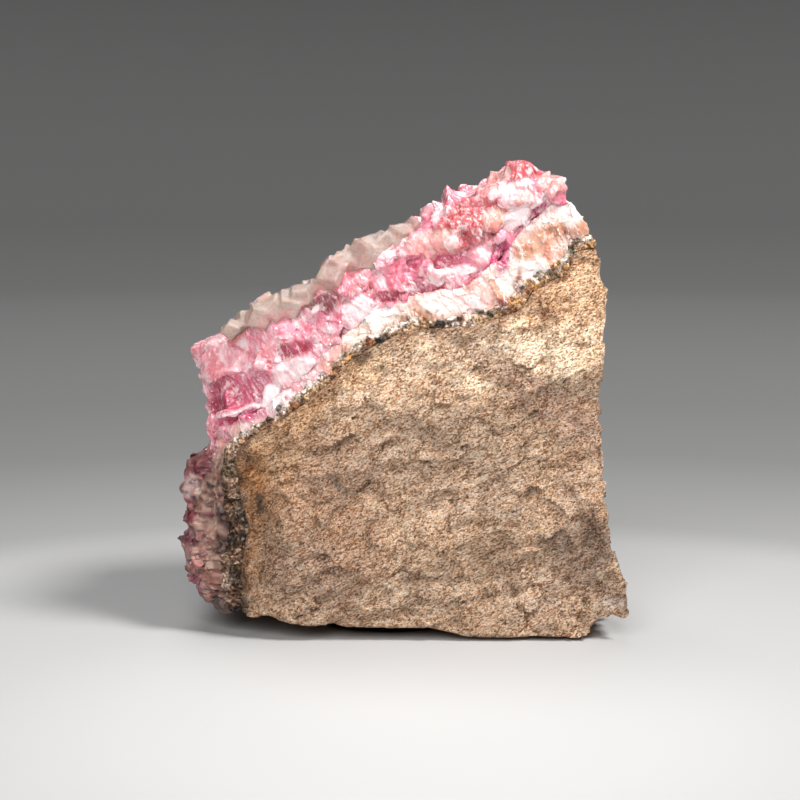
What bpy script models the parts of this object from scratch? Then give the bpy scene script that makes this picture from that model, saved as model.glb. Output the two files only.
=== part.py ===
"""A cobaltoan calcite specimen: a block of sandstone with a vein of calcite grown on its sloping top and its left
side. Metres, +Z up, the broken section of the vein facing -Y, and the origin on the surface it stands on."""

import math
import random

import bmesh
import bpy
from mathutils import Matrix, Vector, noise

MM = 0.001

# Driving sizes of the specimen.
DEPTH = 50.0 * MM
FRONT_Y = -DEPTH / 2
GAP = 0.35 * MM
SEED = 12

# Each rib crosses the vein from the sandstone's skin to the outside of the crust, in the front section:
# x and z at the sandstone, x and z outside, and how thick the ore seam and the pale band are there. In millimetres.
RIBS = [
    (-30.0, 2.6, -36.3, 2.6, 1.0, 1.6),
    (-29.5, 12.0, -40.0, 11.0, 1.8, 2.6),
    (-28.5, 21.0, -40.8, 21.0, 2.0, 3.6),
    (-29.0, 29.0, -40.4, 29.0, 1.8, 3.2),
    (-29.5, 34.0, -38.4, 34.5, 1.3, 2.0),
    (-26.5, 37.5, -37.8, 42.5, 1.1, 1.6),
    (-20.5, 41.5, -38.8, 51.6, 1.2, 1.6),
    (-15.0, 45.0, -32.0, 56.0, 1.4, 2.0),
    (-9.0, 50.5, -24.6, 61.2, 1.3, 2.4),
    (-1.0, 53.5, -16.0, 66.4, 1.5, 4.2),
    (8.0, 56.0, -7.4, 72.0, 1.3, 5.2),
    (16.0, 58.0, 2.6, 76.6, 1.3, 5.6),
    (21.5, 61.0, 10.0, 81.4, 1.8, 6.2),
    (24.5, 66.0, 18.8, 86.0, 2.0, 6.4),
    (28.5, 69.5, 25.0, 84.6, 1.8, 5.6),
    (33.5, 72.5, 29.0, 80.6, 1.5, 4.0),
]

# The sandstone's own edge in the front section, from the top of the vein down the right side and along the base.
STONE_EDGE = [
    (34.4, 67.0), (35.2, 59.0), (35.6, 52.5), (34.6, 45.5), (34.4, 40.0), (35.3, 33.0), (36.5, 25.0),
    (37.4, 17.0), (39.0, 12.0), (40.0, 7.2), (39.3, 4.0), (35.2, 2.6), (32.6, 0.5), (30.0, 0.0),
    (18.0, 0.0), (4.0, 0.0), (-10.0, 0.0), (-19.0, 0.8), (-25.5, 2.2),
]

# The stone's flat foot: its middle and its half sizes, and how far the base lifts outside it.
FOOT_X, FOOT_Y = 12.0 * MM, -3.0 * MM
FOOT_HALF_X, FOOT_HALF_Y = 21.0 * MM, 17.0 * MM
FOOT_RISE = 9.0 * MM
BASE_LIFT = 1.2 * MM
LIFT_HEIGHT = 18.0 * MM

# How the block narrows from its front to its back, and how its two broken faces lean in at the top.
BACK_WIDTH, BACK_HEIGHT = 0.88, 0.93
FRONT_LEAN, BACK_LEAN = 4.0 * MM, 10.0 * MM
TOP_Z = 86.0 * MM

# How far the sides waver behind the front section, and over what length.
WAVER, WAVER_SIZE = 2.6 * MM, 38.0 * MM

# Brings the middle of the finished stone's depth over the origin.
TO_MIDDLE = 0.7 * MM

# The front face turns away at its left end, from this x outwards, by up to that much.
SHOULDER_X, SHOULDER_WIDTH, SHOULDER_DEPTH = -22.0 * MM, 20.0 * MM, 9.0 * MM

# Swells and hollows of the sandstone's front face: x, z, radius and height in millimetres.
SWELLS = [
    (-2.0, 47.0, 13.0, 1.3),
    (14.0, 25.0, 11.0, 1.7),
    (25.0, 40.0, 12.0, -1.2),
    (-16.0, 28.0, 12.0, 1.3),
    (-4.0, 31.0, 9.0, -1.1),
    (6.0, 14.0, 10.0, -0.9),
    (28.0, 15.0, 8.0, -1.3),
    (-20.0, 12.0, 10.0, 1.0),
    (20.0, 54.0, 9.0, 1.1),
]

# Chips knocked off the block: a point in millimetres, and the direction in which the stone is gone.
CHIPS = [
    ((-30.0, 20.0, 12.0), (-0.75, 0.55, -0.45)),
    ((30.0, 14.0, 62.0), (0.62, 0.66, 0.42)),
    ((33.0, 21.0, 18.0), (0.66, 0.72, -0.20)),
    ((2.0, 24.0, 6.0), (-0.05, 0.70, -0.72)),
    ((20.0, 22.0, 40.0), (0.30, 0.94, 0.12)),
    ((-6.0, 22.5, 30.0), (-0.22, 0.97, -0.06)),
    ((-24.0, 21.0, 42.0), (-0.34, 0.92, 0.20)),
    ((38.5, 8.0, 10.0), (0.80, 0.35, -0.50)),
    ((37.0, 5.0, 44.0), (0.93, 0.30, 0.20)),
    ((39.0, 0.0, 24.0), (0.93, 0.34, -0.14)),
]

# The roughness of the sandstone, its size, and how far from the vein and from the base it starts and is full.
STONE_ROUGH, STONE_ROUGH_SIZE = 2.1 * MM, 11.0 * MM
CALM_BY_THE_VEIN, ROUGH_FROM_THE_VEIN = 2.5 * MM, 8.5 * MM
ROUGH_FROM_THE_BASE = 5.0 * MM

# The cells that the faces are cut into before the warp moves them, across the section and in depth. The depth is
# the same for every layer, so that the warp bends them alike and the gaps between them stay open.
CELL = 6.6 * MM
DEPTH_CELL = 10.0 * MM

# How many ribs the vein has for each one listed, on a smooth line through those.
RIBS_PER_RIB = 2

# How far the broken sections of the thin layers and of the crust step out and in, and the size of those steps.
THIN_STEP, CRUST_STEP, STEP_SIZE = 0.9 * MM, 2.6 * MM, 7.0 * MM

# A point belongs to a section if its normal points this much forwards or backwards.
SECTION_NORMAL = 0.3

# The levels of the vein, from the sandstone outwards. Crystals reach no lower than the barred one.
STONE_FACE, SEAM_FOOT, SEAM_TOP, PALE_FOOT, PALE_TOP, BARRED, PINK_FOOT, PINK_TOP = range(8)

# How far the crystals stand out of the crust, and the room that is left for them under its outside line.
CRYSTAL_ROOM, ROOM_SHARE = 2.6 * MM, 0.4

# The crystals along the crust's front edge, up the left side and over the top: x and z of the top and the edge.
EDGE_CRYSTALS = [
    (-36.4, 4.8, 4.6), (-39.4, 9.6, 5.6), (-40.6, 14.8, 6.0), (-41.2, 20.2, 6.2), (-41.0, 25.8, 6.2),
    (-40.2, 31.0, 6.0), (-37.8, 36.4, 5.6), (-36.9, 42.6, 5.8), (-37.6, 47.6, 5.6), (-38.6, 53.2, 7.4),
    (-27.4, 60.0, 7.0), (-20.8, 62.8, 6.2), (-14.4, 67.4, 7.0), (-8.4, 71.6, 6.8), (-2.4, 73.8, 6.4),
    (3.4, 77.2, 7.2), (8.0, 80.2, 6.4), (13.6, 81.8, 6.0), (20.0, 86.2, 7.6), (25.6, 83.4, 5.4),
]
EDGE_INSET = 3.4 * MM

# The crystals on the rest of the outside: their grid, how long their edges are, and how much smaller they are
# towards the foot of the left side and towards the right end.
DRUSE_ROWS, DRUSE_COLUMNS = 6, 14
DRUSE_EDGE = (5.6 * MM, 8.6 * MM)
SMALL_SHARE = 0.6
LEFT_SIDE, RIGHT_END = 0.50, 0.90
DRUSE_TILT = 0.22
DRUSE_FRONT, DRUSE_BACK = 9.0 * MM, 47.0 * MM

# The broken crystals of the front and back sections, where they are between the crust's foot and its outside, how
# far they stand out, and how wide the groups are in which crystals lean alike.
SECTION_EDGE = (5.5 * MM, 9.0 * MM)
SECTION_SPOTS = (0.25, 0.65)
SECTION_PROUD = (0.8 * MM, 2.6 * MM)
SECTION_TILT = 0.6
FRONT_COUNT, BACK_COUNT = 33, 11
GROUP_SIZE = 16.0 * MM
SHARED_SPIN, OWN_SPIN = 2.4, 0.5
CRYSTAL_STRETCH = (0.75, 1.15)

# How far the room that is cut out below the crust runs past it, and its corners deep in the stone.
ROOM_BEYOND = 10.0 * MM
ROOM_CORNERS = [(20.0, 50.0), (-12.0, 20.0), (-14.0, -4.0)]


def smoothstep(value):
    value = min(1.0, max(0.0, value))
    return value * value * (3 - 2 * value)


def rough(point, size, seed):
    """A smooth random value from -1 to 1 that changes over that size."""
    return noise.noise(point / size + Vector((seed * 7.3, seed * 3.1, seed * 5.7)))


def front_relief(x, z):
    """How far the front face stands out towards -Y."""
    relief = 0.0
    for swell_x, swell_z, radius, height in SWELLS:
        away = math.hypot(x - swell_x * MM, z - swell_z * MM) / (radius * MM)
        relief += height * MM * math.exp(-away * away)
    return relief


def base_lift(x, y):
    """How far the base is above the surface: nothing on the foot, then rising outside it."""
    out_x = max(0.0, abs(x - FOOT_X) - FOOT_HALF_X)
    out_y = max(0.0, abs(y - FOOT_Y) - FOOT_HALF_Y)
    return BASE_LIFT * smoothstep(math.hypot(out_x, out_y) / FOOT_RISE)


def warp(point):
    """Turns a point of the straight block, cut from one outline, into its place in the uneven stone."""
    x, y, z = point
    back = (y - FRONT_Y) / DEPTH
    height = z / TOP_Z
    x *= 1 - (1 - BACK_WIDTH) * back
    z *= 1 - (1 - BACK_HEIGHT) * back * back
    front = FRONT_Y + FRONT_LEAN * height * height - front_relief(x, z)
    front += SHOULDER_DEPTH * smoothstep((SHOULDER_X - x) / SHOULDER_WIDTH)
    behind = -FRONT_Y - BACK_LEAN * height * height
    y = front + (behind - front) * back
    free = smoothstep(z / LIFT_HEIGHT)
    slow = Vector((x, y, z))
    x += WAVER * rough(slow, WAVER_SIZE, 1) * back
    y += WAVER * rough(slow, WAVER_SIZE, 2) * back
    z += WAVER * rough(slow, WAVER_SIZE, 3) * back * free
    z += base_lift(x, y) * (1 - free)
    return Vector((x, y + TO_MIDDLE, z))


def finer(ribs):
    """The ribs with more between them, on a smooth line through the listed ones."""
    made = []
    for index in range(len(ribs) - 1):
        around = [ribs[max(0, index - 1)], ribs[index], ribs[index + 1], ribs[min(len(ribs) - 1, index + 2)]]
        for step in range(RIBS_PER_RIB):
            made.append(tuple(between(values, step / RIBS_PER_RIB) for values in zip(*around)))
    return made + [ribs[-1]]


def between(values, share):
    """The value at that share of the way from the second to the third, on a smooth line through all four."""
    before, here, there, after = values
    turn = 2 * before - 5 * here + 4 * there - after
    return here + share * ((there - before) + share * (turn + share * (3 * (here - there) + after - before))) / 2


def rib_point(rib, level):
    """The point of a rib at a level, one of those named above."""
    inner = Vector((rib[0], rib[1])) * MM
    outer = Vector((rib[2], rib[3])) * MM
    length = (outer - inner).length
    seam = GAP + rib[4] * MM
    pale = seam + GAP + rib[5] * MM
    room = min(CRYSTAL_ROOM, ROOM_SHARE * (length - pale - GAP))
    places = {
        STONE_FACE: 0.0,
        SEAM_FOOT: GAP,
        SEAM_TOP: seam,
        PALE_FOOT: seam + GAP,
        PALE_TOP: pale,
        BARRED: pale + GAP / 2,
        PINK_FOOT: pale + GAP,
        PINK_TOP: length - room,
    }
    return inner.lerp(outer, places[level] / length)


def collection_named(name, shown=True):
    made = bpy.data.collections.new(name)
    bpy.context.scene.collection.children.link(made)
    made.hide_render = not shown
    return made


def material_named(name, colour, roughness):
    made = bpy.data.materials.new(name)
    made.use_nodes = True
    shader = made.node_tree.nodes["Principled BSDF"]
    shader.inputs["Base Color"].default_value = (*colour, 1.0)
    shader.inputs["Roughness"].default_value = roughness
    made.diffuse_color = (*colour, 1.0)
    return made


def object_from(bm, name, collection, material=None):
    mesh = bpy.data.meshes.new(name)
    bm.to_mesh(mesh)
    bm.free()
    if material:
        mesh.materials.append(material)
    made = bpy.data.objects.new(name, mesh)
    collection.objects.link(made)
    if not material:
        made.hide_render = True
        made.display_type = "WIRE"
    return made


def extruded(bm, depth=DEPTH):
    """Turns a flat front section into a straight block that runs backwards."""
    grown = bmesh.ops.extrude_face_region(bm, geom=bm.faces[:])
    moved = [v for v in grown["geom"] if isinstance(v, bmesh.types.BMVert)]
    bmesh.ops.translate(bm, verts=moved, vec=(0, depth, 0))
    bmesh.ops.recalc_face_normals(bm, faces=bm.faces)
    return bm


def section(outline, front=FRONT_Y):
    """A flat front section inside that outline, an ordered ring of (x, z) points."""
    bm = bmesh.new()
    bm.faces.new([bm.verts.new((x, front, z)) for x, z in outline])
    return bm


def strip_section(lower, upper, rows):
    """A flat front section between two lines of (x, z) points, in that many rows of faces from rib to rib."""
    bm = bmesh.new()
    lines = []
    for row in range(rows + 1):
        spots = [low.lerp(high, row / rows) for low, high in zip(lower, upper)]
        lines.append([bm.verts.new((x, FRONT_Y, z)) for x, z in spots])
    for feet, heads in zip(lines, lines[1:]):
        for index in range(len(feet) - 1):
            bm.faces.new((feet[index], feet[index + 1], heads[index + 1], heads[index]))
    return bm


def cut_every(bm, axis, cell, start):
    """Cuts the faces every cell along that axis, counted from the start, so that the warp has points to move."""
    normal = Vector((0, 0, 0))
    normal[axis] = 1
    places = [vert.co[axis] for vert in bm.verts]
    first = math.floor((min(places) - start) / cell) + 1
    last = math.ceil((max(places) - start) / cell)
    for index in range(first, last):
        everything = bm.verts[:] + bm.edges[:] + bm.faces[:]
        place = normal * (start + cell * index)
        bmesh.ops.bisect_plane(bm, geom=everything, dist=1e-6, plane_co=place, plane_no=normal)


def knock_off_chips(bm):
    """Cuts the block back to each chip's plane and closes it there."""
    for place, direction in CHIPS:
        everything = bm.verts[:] + bm.edges[:] + bm.faces[:]
        bmesh.ops.bisect_plane(
            bm, geom=everything, dist=1e-6, plane_co=Vector(place) * MM, plane_no=direction, clear_outer=True
        )
        rim = [edge for edge in bm.edges if edge.is_boundary]
        if rim:
            bmesh.ops.holes_fill(bm, edges=rim, sides=0)


def in_triangles(bm):
    """Splits the faces, so that the warp can't leave a bent one."""
    bmesh.ops.triangulate(bm, faces=bm.faces)
    return bm


def is_on_the_stone(point, margin=0.0):
    """True for a point of the straight block that no chip took away."""
    return all((point - Vector(place) * MM).dot(Vector(way).normalized()) < -margin for place, way in CHIPS)


def warped(bm):
    for vert in bm.verts:
        vert.co = warp(vert.co)
    bm.normal_update()
    return bm


def roughen(bm):
    """Moves each point of the sandstone along its normal by a random length, where it is free to move."""
    moves = []
    for vert in bm.verts:
        coarse = rough(vert.co, STONE_ROUGH_SIZE, 4)
        fine = rough(vert.co, STONE_ROUGH_SIZE / 2, 5)
        moves.append(vert.normal * STONE_ROUGH * (coarse + fine / 2) * freedom(vert.co))
    for vert, move in zip(bm.verts, moves):
        vert.co += move


def freedom(point):
    """0 on the sandstone's face under the vein and on its foot, and 1 a little way from them."""
    flat = Vector((point.x, point.z))
    nearest = min((flat - spot).length for spot in vein_line(point.y))
    away = (nearest - CALM_BY_THE_VEIN) / (ROUGH_FROM_THE_VEIN - CALM_BY_THE_VEIN)
    return smoothstep(away) * smoothstep(point.z / ROUGH_FROM_THE_BASE)


def vein_line(y):
    """Points along the foot of the vein at that depth."""
    line = []
    for rib in finer(RIBS):
        place = warp(Vector((rib[0] * MM, y, rib[1] * MM)))
        line.append(Vector((place.x, place.z)))
    return line


def sandstone(collection):
    """The block that carries the vein."""
    contact = [rib_point(rib, STONE_FACE) for rib in finer(RIBS)]
    outline = contact + [Vector(place) * MM for place in STONE_EDGE]
    bm = extruded(section(outline))
    knock_off_chips(bm)
    cut_every(bm, 0, CELL, 0.0)
    cut_every(bm, 1, DEPTH_CELL, FRONT_Y)
    cut_every(bm, 2, CELL, 0.0)
    warped(in_triangles(bm))
    roughen(bm)
    return object_from(bm, "sandstone_matrix", collection, material_named("sandstone", (0.55, 0.42, 0.30), 0.95))


def step_the_sections(bm, step, seed):
    """Breaks a layer's front and back sections a little further out or in than its neighbours are."""
    bm.normal_update()
    for vert in bm.verts:
        if abs(vert.normal.y) > SECTION_NORMAL:
            vert.co.y += step * rough(vert.co, STEP_SIZE, seed)


def layer(low, high, rows, step, seed):
    """A block between two levels of the vein, chipped and warped as the stone is."""
    lower = [rib_point(rib, low) for rib in finer(RIBS)]
    upper = [rib_point(rib, high) for rib in finer(RIBS)]
    bm = extruded(strip_section(lower, upper, rows))
    knock_off_chips(bm)
    cut_every(bm, 1, DEPTH_CELL, FRONT_Y)
    step_the_sections(bm, step, seed)
    return warped(in_triangles(bm))


def outer_place(share, y):
    """The straight place on the crust's outside line at that share of its length, and the way out there."""
    spots = [Vector((rib[2], rib[3])) * MM for rib in RIBS]
    lengths = [(b - a).length for a, b in zip(spots, spots[1:])]
    left = share * sum(lengths)
    for index, length in enumerate(lengths):
        if left <= length or index == len(lengths) - 1:
            break
        left -= length
    part = left / length
    rib, after = RIBS[index], RIBS[index + 1]
    values = [a + (b - a) * part for a, b in zip(rib, after)]
    out = (Vector((values[2] - values[0], 0, values[3] - values[1]))).normalized()
    return Vector((values[2] * MM, y, values[3] * MM)), out


def add_crystal(name, collection, place, out, form):
    """A calcite rhomb, a cube stood on its corner and stretched along that diagonal, which reaches out to that place.

    The form is the diagonal's direction, the spin around it, the edge and the stretch."""
    axis, spin, edge, stretch = form
    upright = Vector((1, 1, 1)).rotation_difference(Vector((0, 0, 1))).to_matrix().to_4x4()
    aimed = Vector((0, 0, 1)).rotation_difference(axis).to_matrix().to_4x4()
    sized = Matrix.Diagonal((edge, edge, edge * stretch, 1)) @ Matrix.Rotation(spin, 4, "Z")
    bm = bmesh.new()
    bmesh.ops.create_cube(bm, size=1, matrix=aimed @ sized @ upright)
    reach = max(vert.co.dot(out) for vert in bm.verts)
    bmesh.ops.translate(bm, verts=bm.verts, vec=place - out * reach)
    object_from(bm, name, collection)


def tilted(axis, most, place, random_source):
    """The axis, leaned over by up to that much, mostly as its neighbours are, and a spin like theirs."""
    own = Vector([random_source.uniform(-most, most) for _ in range(3)]) / 2
    shared = Vector([rough(place, GROUP_SIZE, seed) for seed in (41, 42, 43)]) * 2 * most
    spin = rough(place, GROUP_SIZE, 44) * SHARED_SPIN + random_source.uniform(-OWN_SPIN, OWN_SPIN)
    return (axis + shared + own).normalized(), spin


def size_share(share):
    """How large the crystals are at that share of the outside line, against those of its middle."""
    large = smoothstep(share / LEFT_SIDE) * smoothstep((1 - share) / (1 - RIGHT_END))
    return SMALL_SHARE + (1 - SMALL_SHARE) * large


def way_out(place):
    """The way out of the crust at a place on its outside, that of the nearest rib."""
    ribs = [(Vector((rib[0], 0, rib[1])) * MM, Vector((rib[2], 0, rib[3])) * MM) for rib in finer(RIBS)]
    flat = Vector((place.x, 0, place.z))
    inner, outer = min(ribs, key=lambda rib: (rib[1] - flat).length)
    return (outer - inner).normalized()


def edge_crystals(collection, random_source):
    """The crystals along the front edge, which make the outline that the front shows."""
    for index, (x, z, edge) in enumerate(EDGE_CRYSTALS):
        place = Vector((x * MM, FRONT_Y + EDGE_INSET, z * MM))
        out = way_out(place)
        axis, spin = tilted(out, DRUSE_TILT, place, random_source)
        add_crystal(f"edge_{index}", collection, warp(place), out, (axis, spin, edge * MM, 1.0))


def druse_crystals(collection, random_source):
    """The crystals on the rest of the outside, in rows from behind the front edge to the back."""
    for row in range(DRUSE_ROWS):
        for column in range(DRUSE_COLUMNS):
            share = (column + 0.5 + random_source.uniform(-0.35, 0.35)) / DRUSE_COLUMNS
            back = (row + random_source.uniform(0.0, 1.0)) / DRUSE_ROWS
            y = FRONT_Y + DRUSE_FRONT + (DRUSE_BACK - DRUSE_FRONT) * back
            place, out = outer_place(share, y)
            edge = random_source.uniform(*DRUSE_EDGE) * size_share(share)
            stretch = random_source.uniform(*CRYSTAL_STRETCH)
            axis, spin = tilted(out, DRUSE_TILT, place, random_source)
            if is_on_the_stone(place, 1 * MM):
                add_crystal(f"druse_{row}_{column}", collection, warp(place), out, (axis, spin, edge, stretch))


def brought_in(place, out):
    """The place, moved in from the section until it is on the stone where a chip took that away."""
    while not is_on_the_stone(place):
        place = place - out * MM
    return place


def section_crystals(collection, random_source, name, y, way, count):
    """The broken crystals that show on the crust's front or back section."""
    for index in range(count):
        rib_at = (index + random_source.uniform(0.1, 0.9)) / count * (len(RIBS) - 1)
        rib, after = RIBS[int(rib_at)], RIBS[int(rib_at) + 1]
        part = rib_at - int(rib_at)
        foot = rib_point(rib, PINK_FOOT).lerp(rib_point(after, PINK_FOOT), part)
        outside = rib_point(rib, PINK_TOP).lerp(rib_point(after, PINK_TOP), part)
        spot = foot.lerp(outside, random_source.uniform(*SECTION_SPOTS))
        edge = min(random_source.uniform(*SECTION_EDGE), (outside - foot).length)
        proud = random_source.uniform(*SECTION_PROUD)
        stretch = random_source.uniform(*CRYSTAL_STRETCH)
        out = Vector((0, way, 0))
        place = brought_in(Vector((spot.x, y, spot.y)), out)
        axis, spin = tilted(out, SECTION_TILT, place, random_source)
        add_crystal(f"{name}_{index}", collection, warp(place) + out * proud, out, (axis, spin, edge, stretch))


def room_below_the_crust(collection):
    """What the crystals may not reach into: everything from the pink crust's foot down to the stone."""
    foot = [rib_point(rib, BARRED) for rib in finer(RIBS)]
    first = foot[0] + (foot[0] - foot[1]).normalized() * ROOM_BEYOND
    last = foot[-1] + (foot[-1] - foot[-2]).normalized() * ROOM_BEYOND
    outline = [first] + foot + [last] + [Vector(corner) * MM for corner in ROOM_CORNERS]
    bm = extruded(section(outline, FRONT_Y - ROOM_BEYOND), DEPTH + 2 * ROOM_BEYOND)
    cut_every(bm, 1, DEPTH_CELL, FRONT_Y)
    return object_from(warped(in_triangles(bm)), "room_below_the_crust", collection)


def joined_with(target, others):
    """Joins all the objects of that collection to the target."""
    modifier = target.modifiers.new("joined", "BOOLEAN")
    modifier.operation = "UNION"
    modifier.solver = "EXACT"
    modifier.operand_type = "COLLECTION"
    modifier.collection = others


def cut_by(target, cutter):
    modifier = target.modifiers.new("cut", "BOOLEAN")
    modifier.operation = "DIFFERENCE"
    modifier.solver = "EXACT"
    modifier.object = cutter


def shell_of(start):
    """All the faces joined to that one across edges that have two faces."""
    found, waiting = {start}, [start]
    while waiting:
        for edge in waiting.pop().edges:
            for face in edge.link_faces:
                if edge.is_manifold and face not in found:
                    found.add(face)
                    waiting.append(face)
    return found


def keep_the_largest_shell(bm):
    """Removes the small sealed pockets that crystals leave between them, and any splinter cut loose."""
    left, largest = set(bm.faces), set()
    while left:
        shell = shell_of(next(iter(left)))
        left -= shell
        largest = max(largest, shell, key=len)
    bmesh.ops.delete(bm, geom=[face for face in bm.faces if face not in largest], context="FACES")


def settled(source, collection, material):
    """The object with its modifiers applied, as one shell under the same name."""
    graph = bpy.context.evaluated_depsgraph_get()
    bm = bmesh.new()
    bm.from_mesh(source.evaluated_get(graph).to_mesh())
    keep_the_largest_shell(bm)
    name = source.name
    bpy.data.objects.remove(source)
    return object_from(bm, name, collection, material)


def pink_crust(collection, helpers):
    """The mass of pink crystals: a rough body with a rhomb standing out of it wherever one grew."""
    crust = object_from(layer(PINK_FOOT, PINK_TOP, 3, CRUST_STEP, 51), "pink_calcite_crust", helpers)
    random_source = random.Random(SEED)
    crystals = collection_named("crystals", shown=False)
    edge_crystals(crystals, random_source)
    druse_crystals(crystals, random_source)
    section_crystals(crystals, random_source, "front", FRONT_Y, -1, FRONT_COUNT)
    section_crystals(crystals, random_source, "back", -FRONT_Y, 1, BACK_COUNT)
    joined_with(crust, crystals)
    cut_by(crust, room_below_the_crust(helpers))
    return settled(crust, collection, material_named("pink_calcite", (0.83, 0.45, 0.52), 0.3))


def thin_layer(collection, name, low, high, colour, seed):
    bm = layer(low, high, 1, THIN_STEP, seed)
    return object_from(bm, name, collection, material_named(name, colour, 0.5))


def build():
    for old in list(bpy.data.objects):
        bpy.data.objects.remove(old)
    specimen = collection_named("cobaltoan_calcite_specimen")
    helpers = collection_named("cutters", shown=False)
    sandstone(specimen)
    thin_layer(specimen, "ore_seam", SEAM_FOOT, SEAM_TOP, (0.15, 0.12, 0.10), 21)
    thin_layer(specimen, "pale_calcite_band", PALE_FOOT, PALE_TOP, (0.85, 0.72, 0.62), 31)
    pink_crust(specimen, helpers)


build()
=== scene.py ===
"""Dresses the cobaltoan calcite specimen: broken sandstone, a dark seam of ore, a pale band of calcite and
a crust of pink crystals with smoky ones on its outside, on a pale floor in soft light."""

import itertools
import math
import random

import bmesh
import bpy
import numpy as np
from bpy.props import FloatProperty, FloatVectorProperty, IntProperty, PointerProperty
from mathutils import Matrix, Vector
from mathutils.bvhtree import BVHTree


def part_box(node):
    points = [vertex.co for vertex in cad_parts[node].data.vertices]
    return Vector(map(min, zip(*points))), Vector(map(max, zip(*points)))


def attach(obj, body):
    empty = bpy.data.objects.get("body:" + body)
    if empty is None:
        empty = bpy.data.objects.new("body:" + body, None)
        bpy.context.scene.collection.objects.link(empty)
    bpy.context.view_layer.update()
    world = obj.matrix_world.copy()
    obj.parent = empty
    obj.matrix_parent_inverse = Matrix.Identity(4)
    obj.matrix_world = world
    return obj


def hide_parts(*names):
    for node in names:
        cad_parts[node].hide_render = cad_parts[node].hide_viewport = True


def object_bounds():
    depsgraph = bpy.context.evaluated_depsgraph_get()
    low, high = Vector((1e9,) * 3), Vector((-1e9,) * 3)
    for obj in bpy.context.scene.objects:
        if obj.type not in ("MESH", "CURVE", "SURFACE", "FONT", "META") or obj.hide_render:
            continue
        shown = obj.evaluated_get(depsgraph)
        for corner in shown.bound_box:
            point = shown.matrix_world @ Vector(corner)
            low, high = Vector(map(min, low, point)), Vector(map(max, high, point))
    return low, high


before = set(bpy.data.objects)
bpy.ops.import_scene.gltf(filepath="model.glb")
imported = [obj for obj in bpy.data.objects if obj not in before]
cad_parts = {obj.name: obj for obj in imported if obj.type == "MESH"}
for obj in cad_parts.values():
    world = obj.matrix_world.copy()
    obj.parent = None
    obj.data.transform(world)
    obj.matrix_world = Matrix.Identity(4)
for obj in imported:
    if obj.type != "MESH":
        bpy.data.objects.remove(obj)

bl_info = {
    "name": "Cobaltoan calcite specimen",
    "version": (1, 0, 0),
    "blender": (4, 5, 0),
    "location": "3D View > Sidebar > Specimen",
    "description": "Dresses a block of sandstone with its vein of pink calcite crystals",
    "category": "Object",
}

MM = 0.001
CAD_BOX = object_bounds()
FRONT_Y = CAD_BOX[0].y

# The way the crystals grow on the sloping top.
GROWTH = Vector((-0.42, 0.0, 0.91)).normalized()

# The camera's aim, its distance from there and how many degrees above level it stands.
CAMERA_TARGET = Vector((-0.9, -20.0, 43.2)) * MM
CAMERA_DISTANCE = 397 * MM
CAMERA_RISE = 8.0

# Places read in the front view are measured on the plane of the specimen's front: its scale there, and the
# place that the camera aims at.
VIEW_SCALE = 1.008
SEEN_MIDDLE = (-0.9 * MM, 42.84 * MM)

# Where all the layers are drawn aside together: x and z of the middle, reach, and shift in x and z. As in
# all these tables, lengths are in millimetres, and turns are in degrees anticlockwise in the front view.
SHIFTS = [
    (-1.0, 54.0, 14.0, 0.0, 1.9),
    (30.0, 79.0, 9.0, -1.5, 0.0),
    (33.0, 72.0, 5.0, 0.0, -1.8),
    (24.5, 84.0, 4.0, 0.0, -1.3),
    (17.0, 85.0, 3.5, 0.0, -0.9),
    (5.8, 79.0, 4.0, -0.9, 2.6),
    (36.0, 47.0, 12.0, -1.2, 0.0),
    (38.0, 23.0, 10.0, -1.8, 0.0),
    (-38.0, 11.0, 10.0, -2.0, 0.0),
    (-39.0, 33.5, 5.5, 2.0, 0.0),
    (28.8, 80.6, 3.2, 0.0, 1.15),
    (-40.0, 25.5, 4.0, -1.2, 0.0),
    (26.0, 68.0, 7.0, 1.7, -1.7),
    (-31.0, 56.0, 3.0, 0.0, 1.2),
]

# How far the layers are lifted at the foot of their left end.
LEFT_END_LIFT = 2.6

# The kinds of calcite, as the colour each would be in white light.
CALCITE = {
    "white": (0.93, 0.89, 0.87),
    "frost": (0.93, 0.77, 0.78),
    "petal": (0.92, 0.66, 0.64),
    "shell": (0.90, 0.55, 0.50),
    "pale": (0.92, 0.52, 0.56),
    "pink": (0.87, 0.36, 0.41),
    "lilac": (0.84, 0.35, 0.45),
    "coral": (0.80, 0.31, 0.35),
    "salmon": (0.53, 0.125, 0.135),
    "peach": (0.80, 0.43, 0.31),
    "rose": (0.72, 0.21, 0.31),
    "plum": (0.62, 0.15, 0.26),
    "raspberry": (0.42, 0.055, 0.12),
    "magenta": (0.56, 0.06, 0.20),
    "wine": (0.26, 0.06, 0.08),
    "brown": (0.22, 0.09, 0.06),
    "haze": (0.86, 0.70, 0.61),
    "cream": (0.92, 0.72, 0.62),
    "tan": (0.56, 0.31, 0.19),
}

# The kinds of the crust's other crystals, from the shaded to the frosted, and of the pale band's.
CRUST_MIX = ["rose", "coral", "pink", "lilac", "pale", "pink", "pale", "frost"]
BAND_MIX = ["cream", "peach", "shell", "white", "tan", "cream"]

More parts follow.
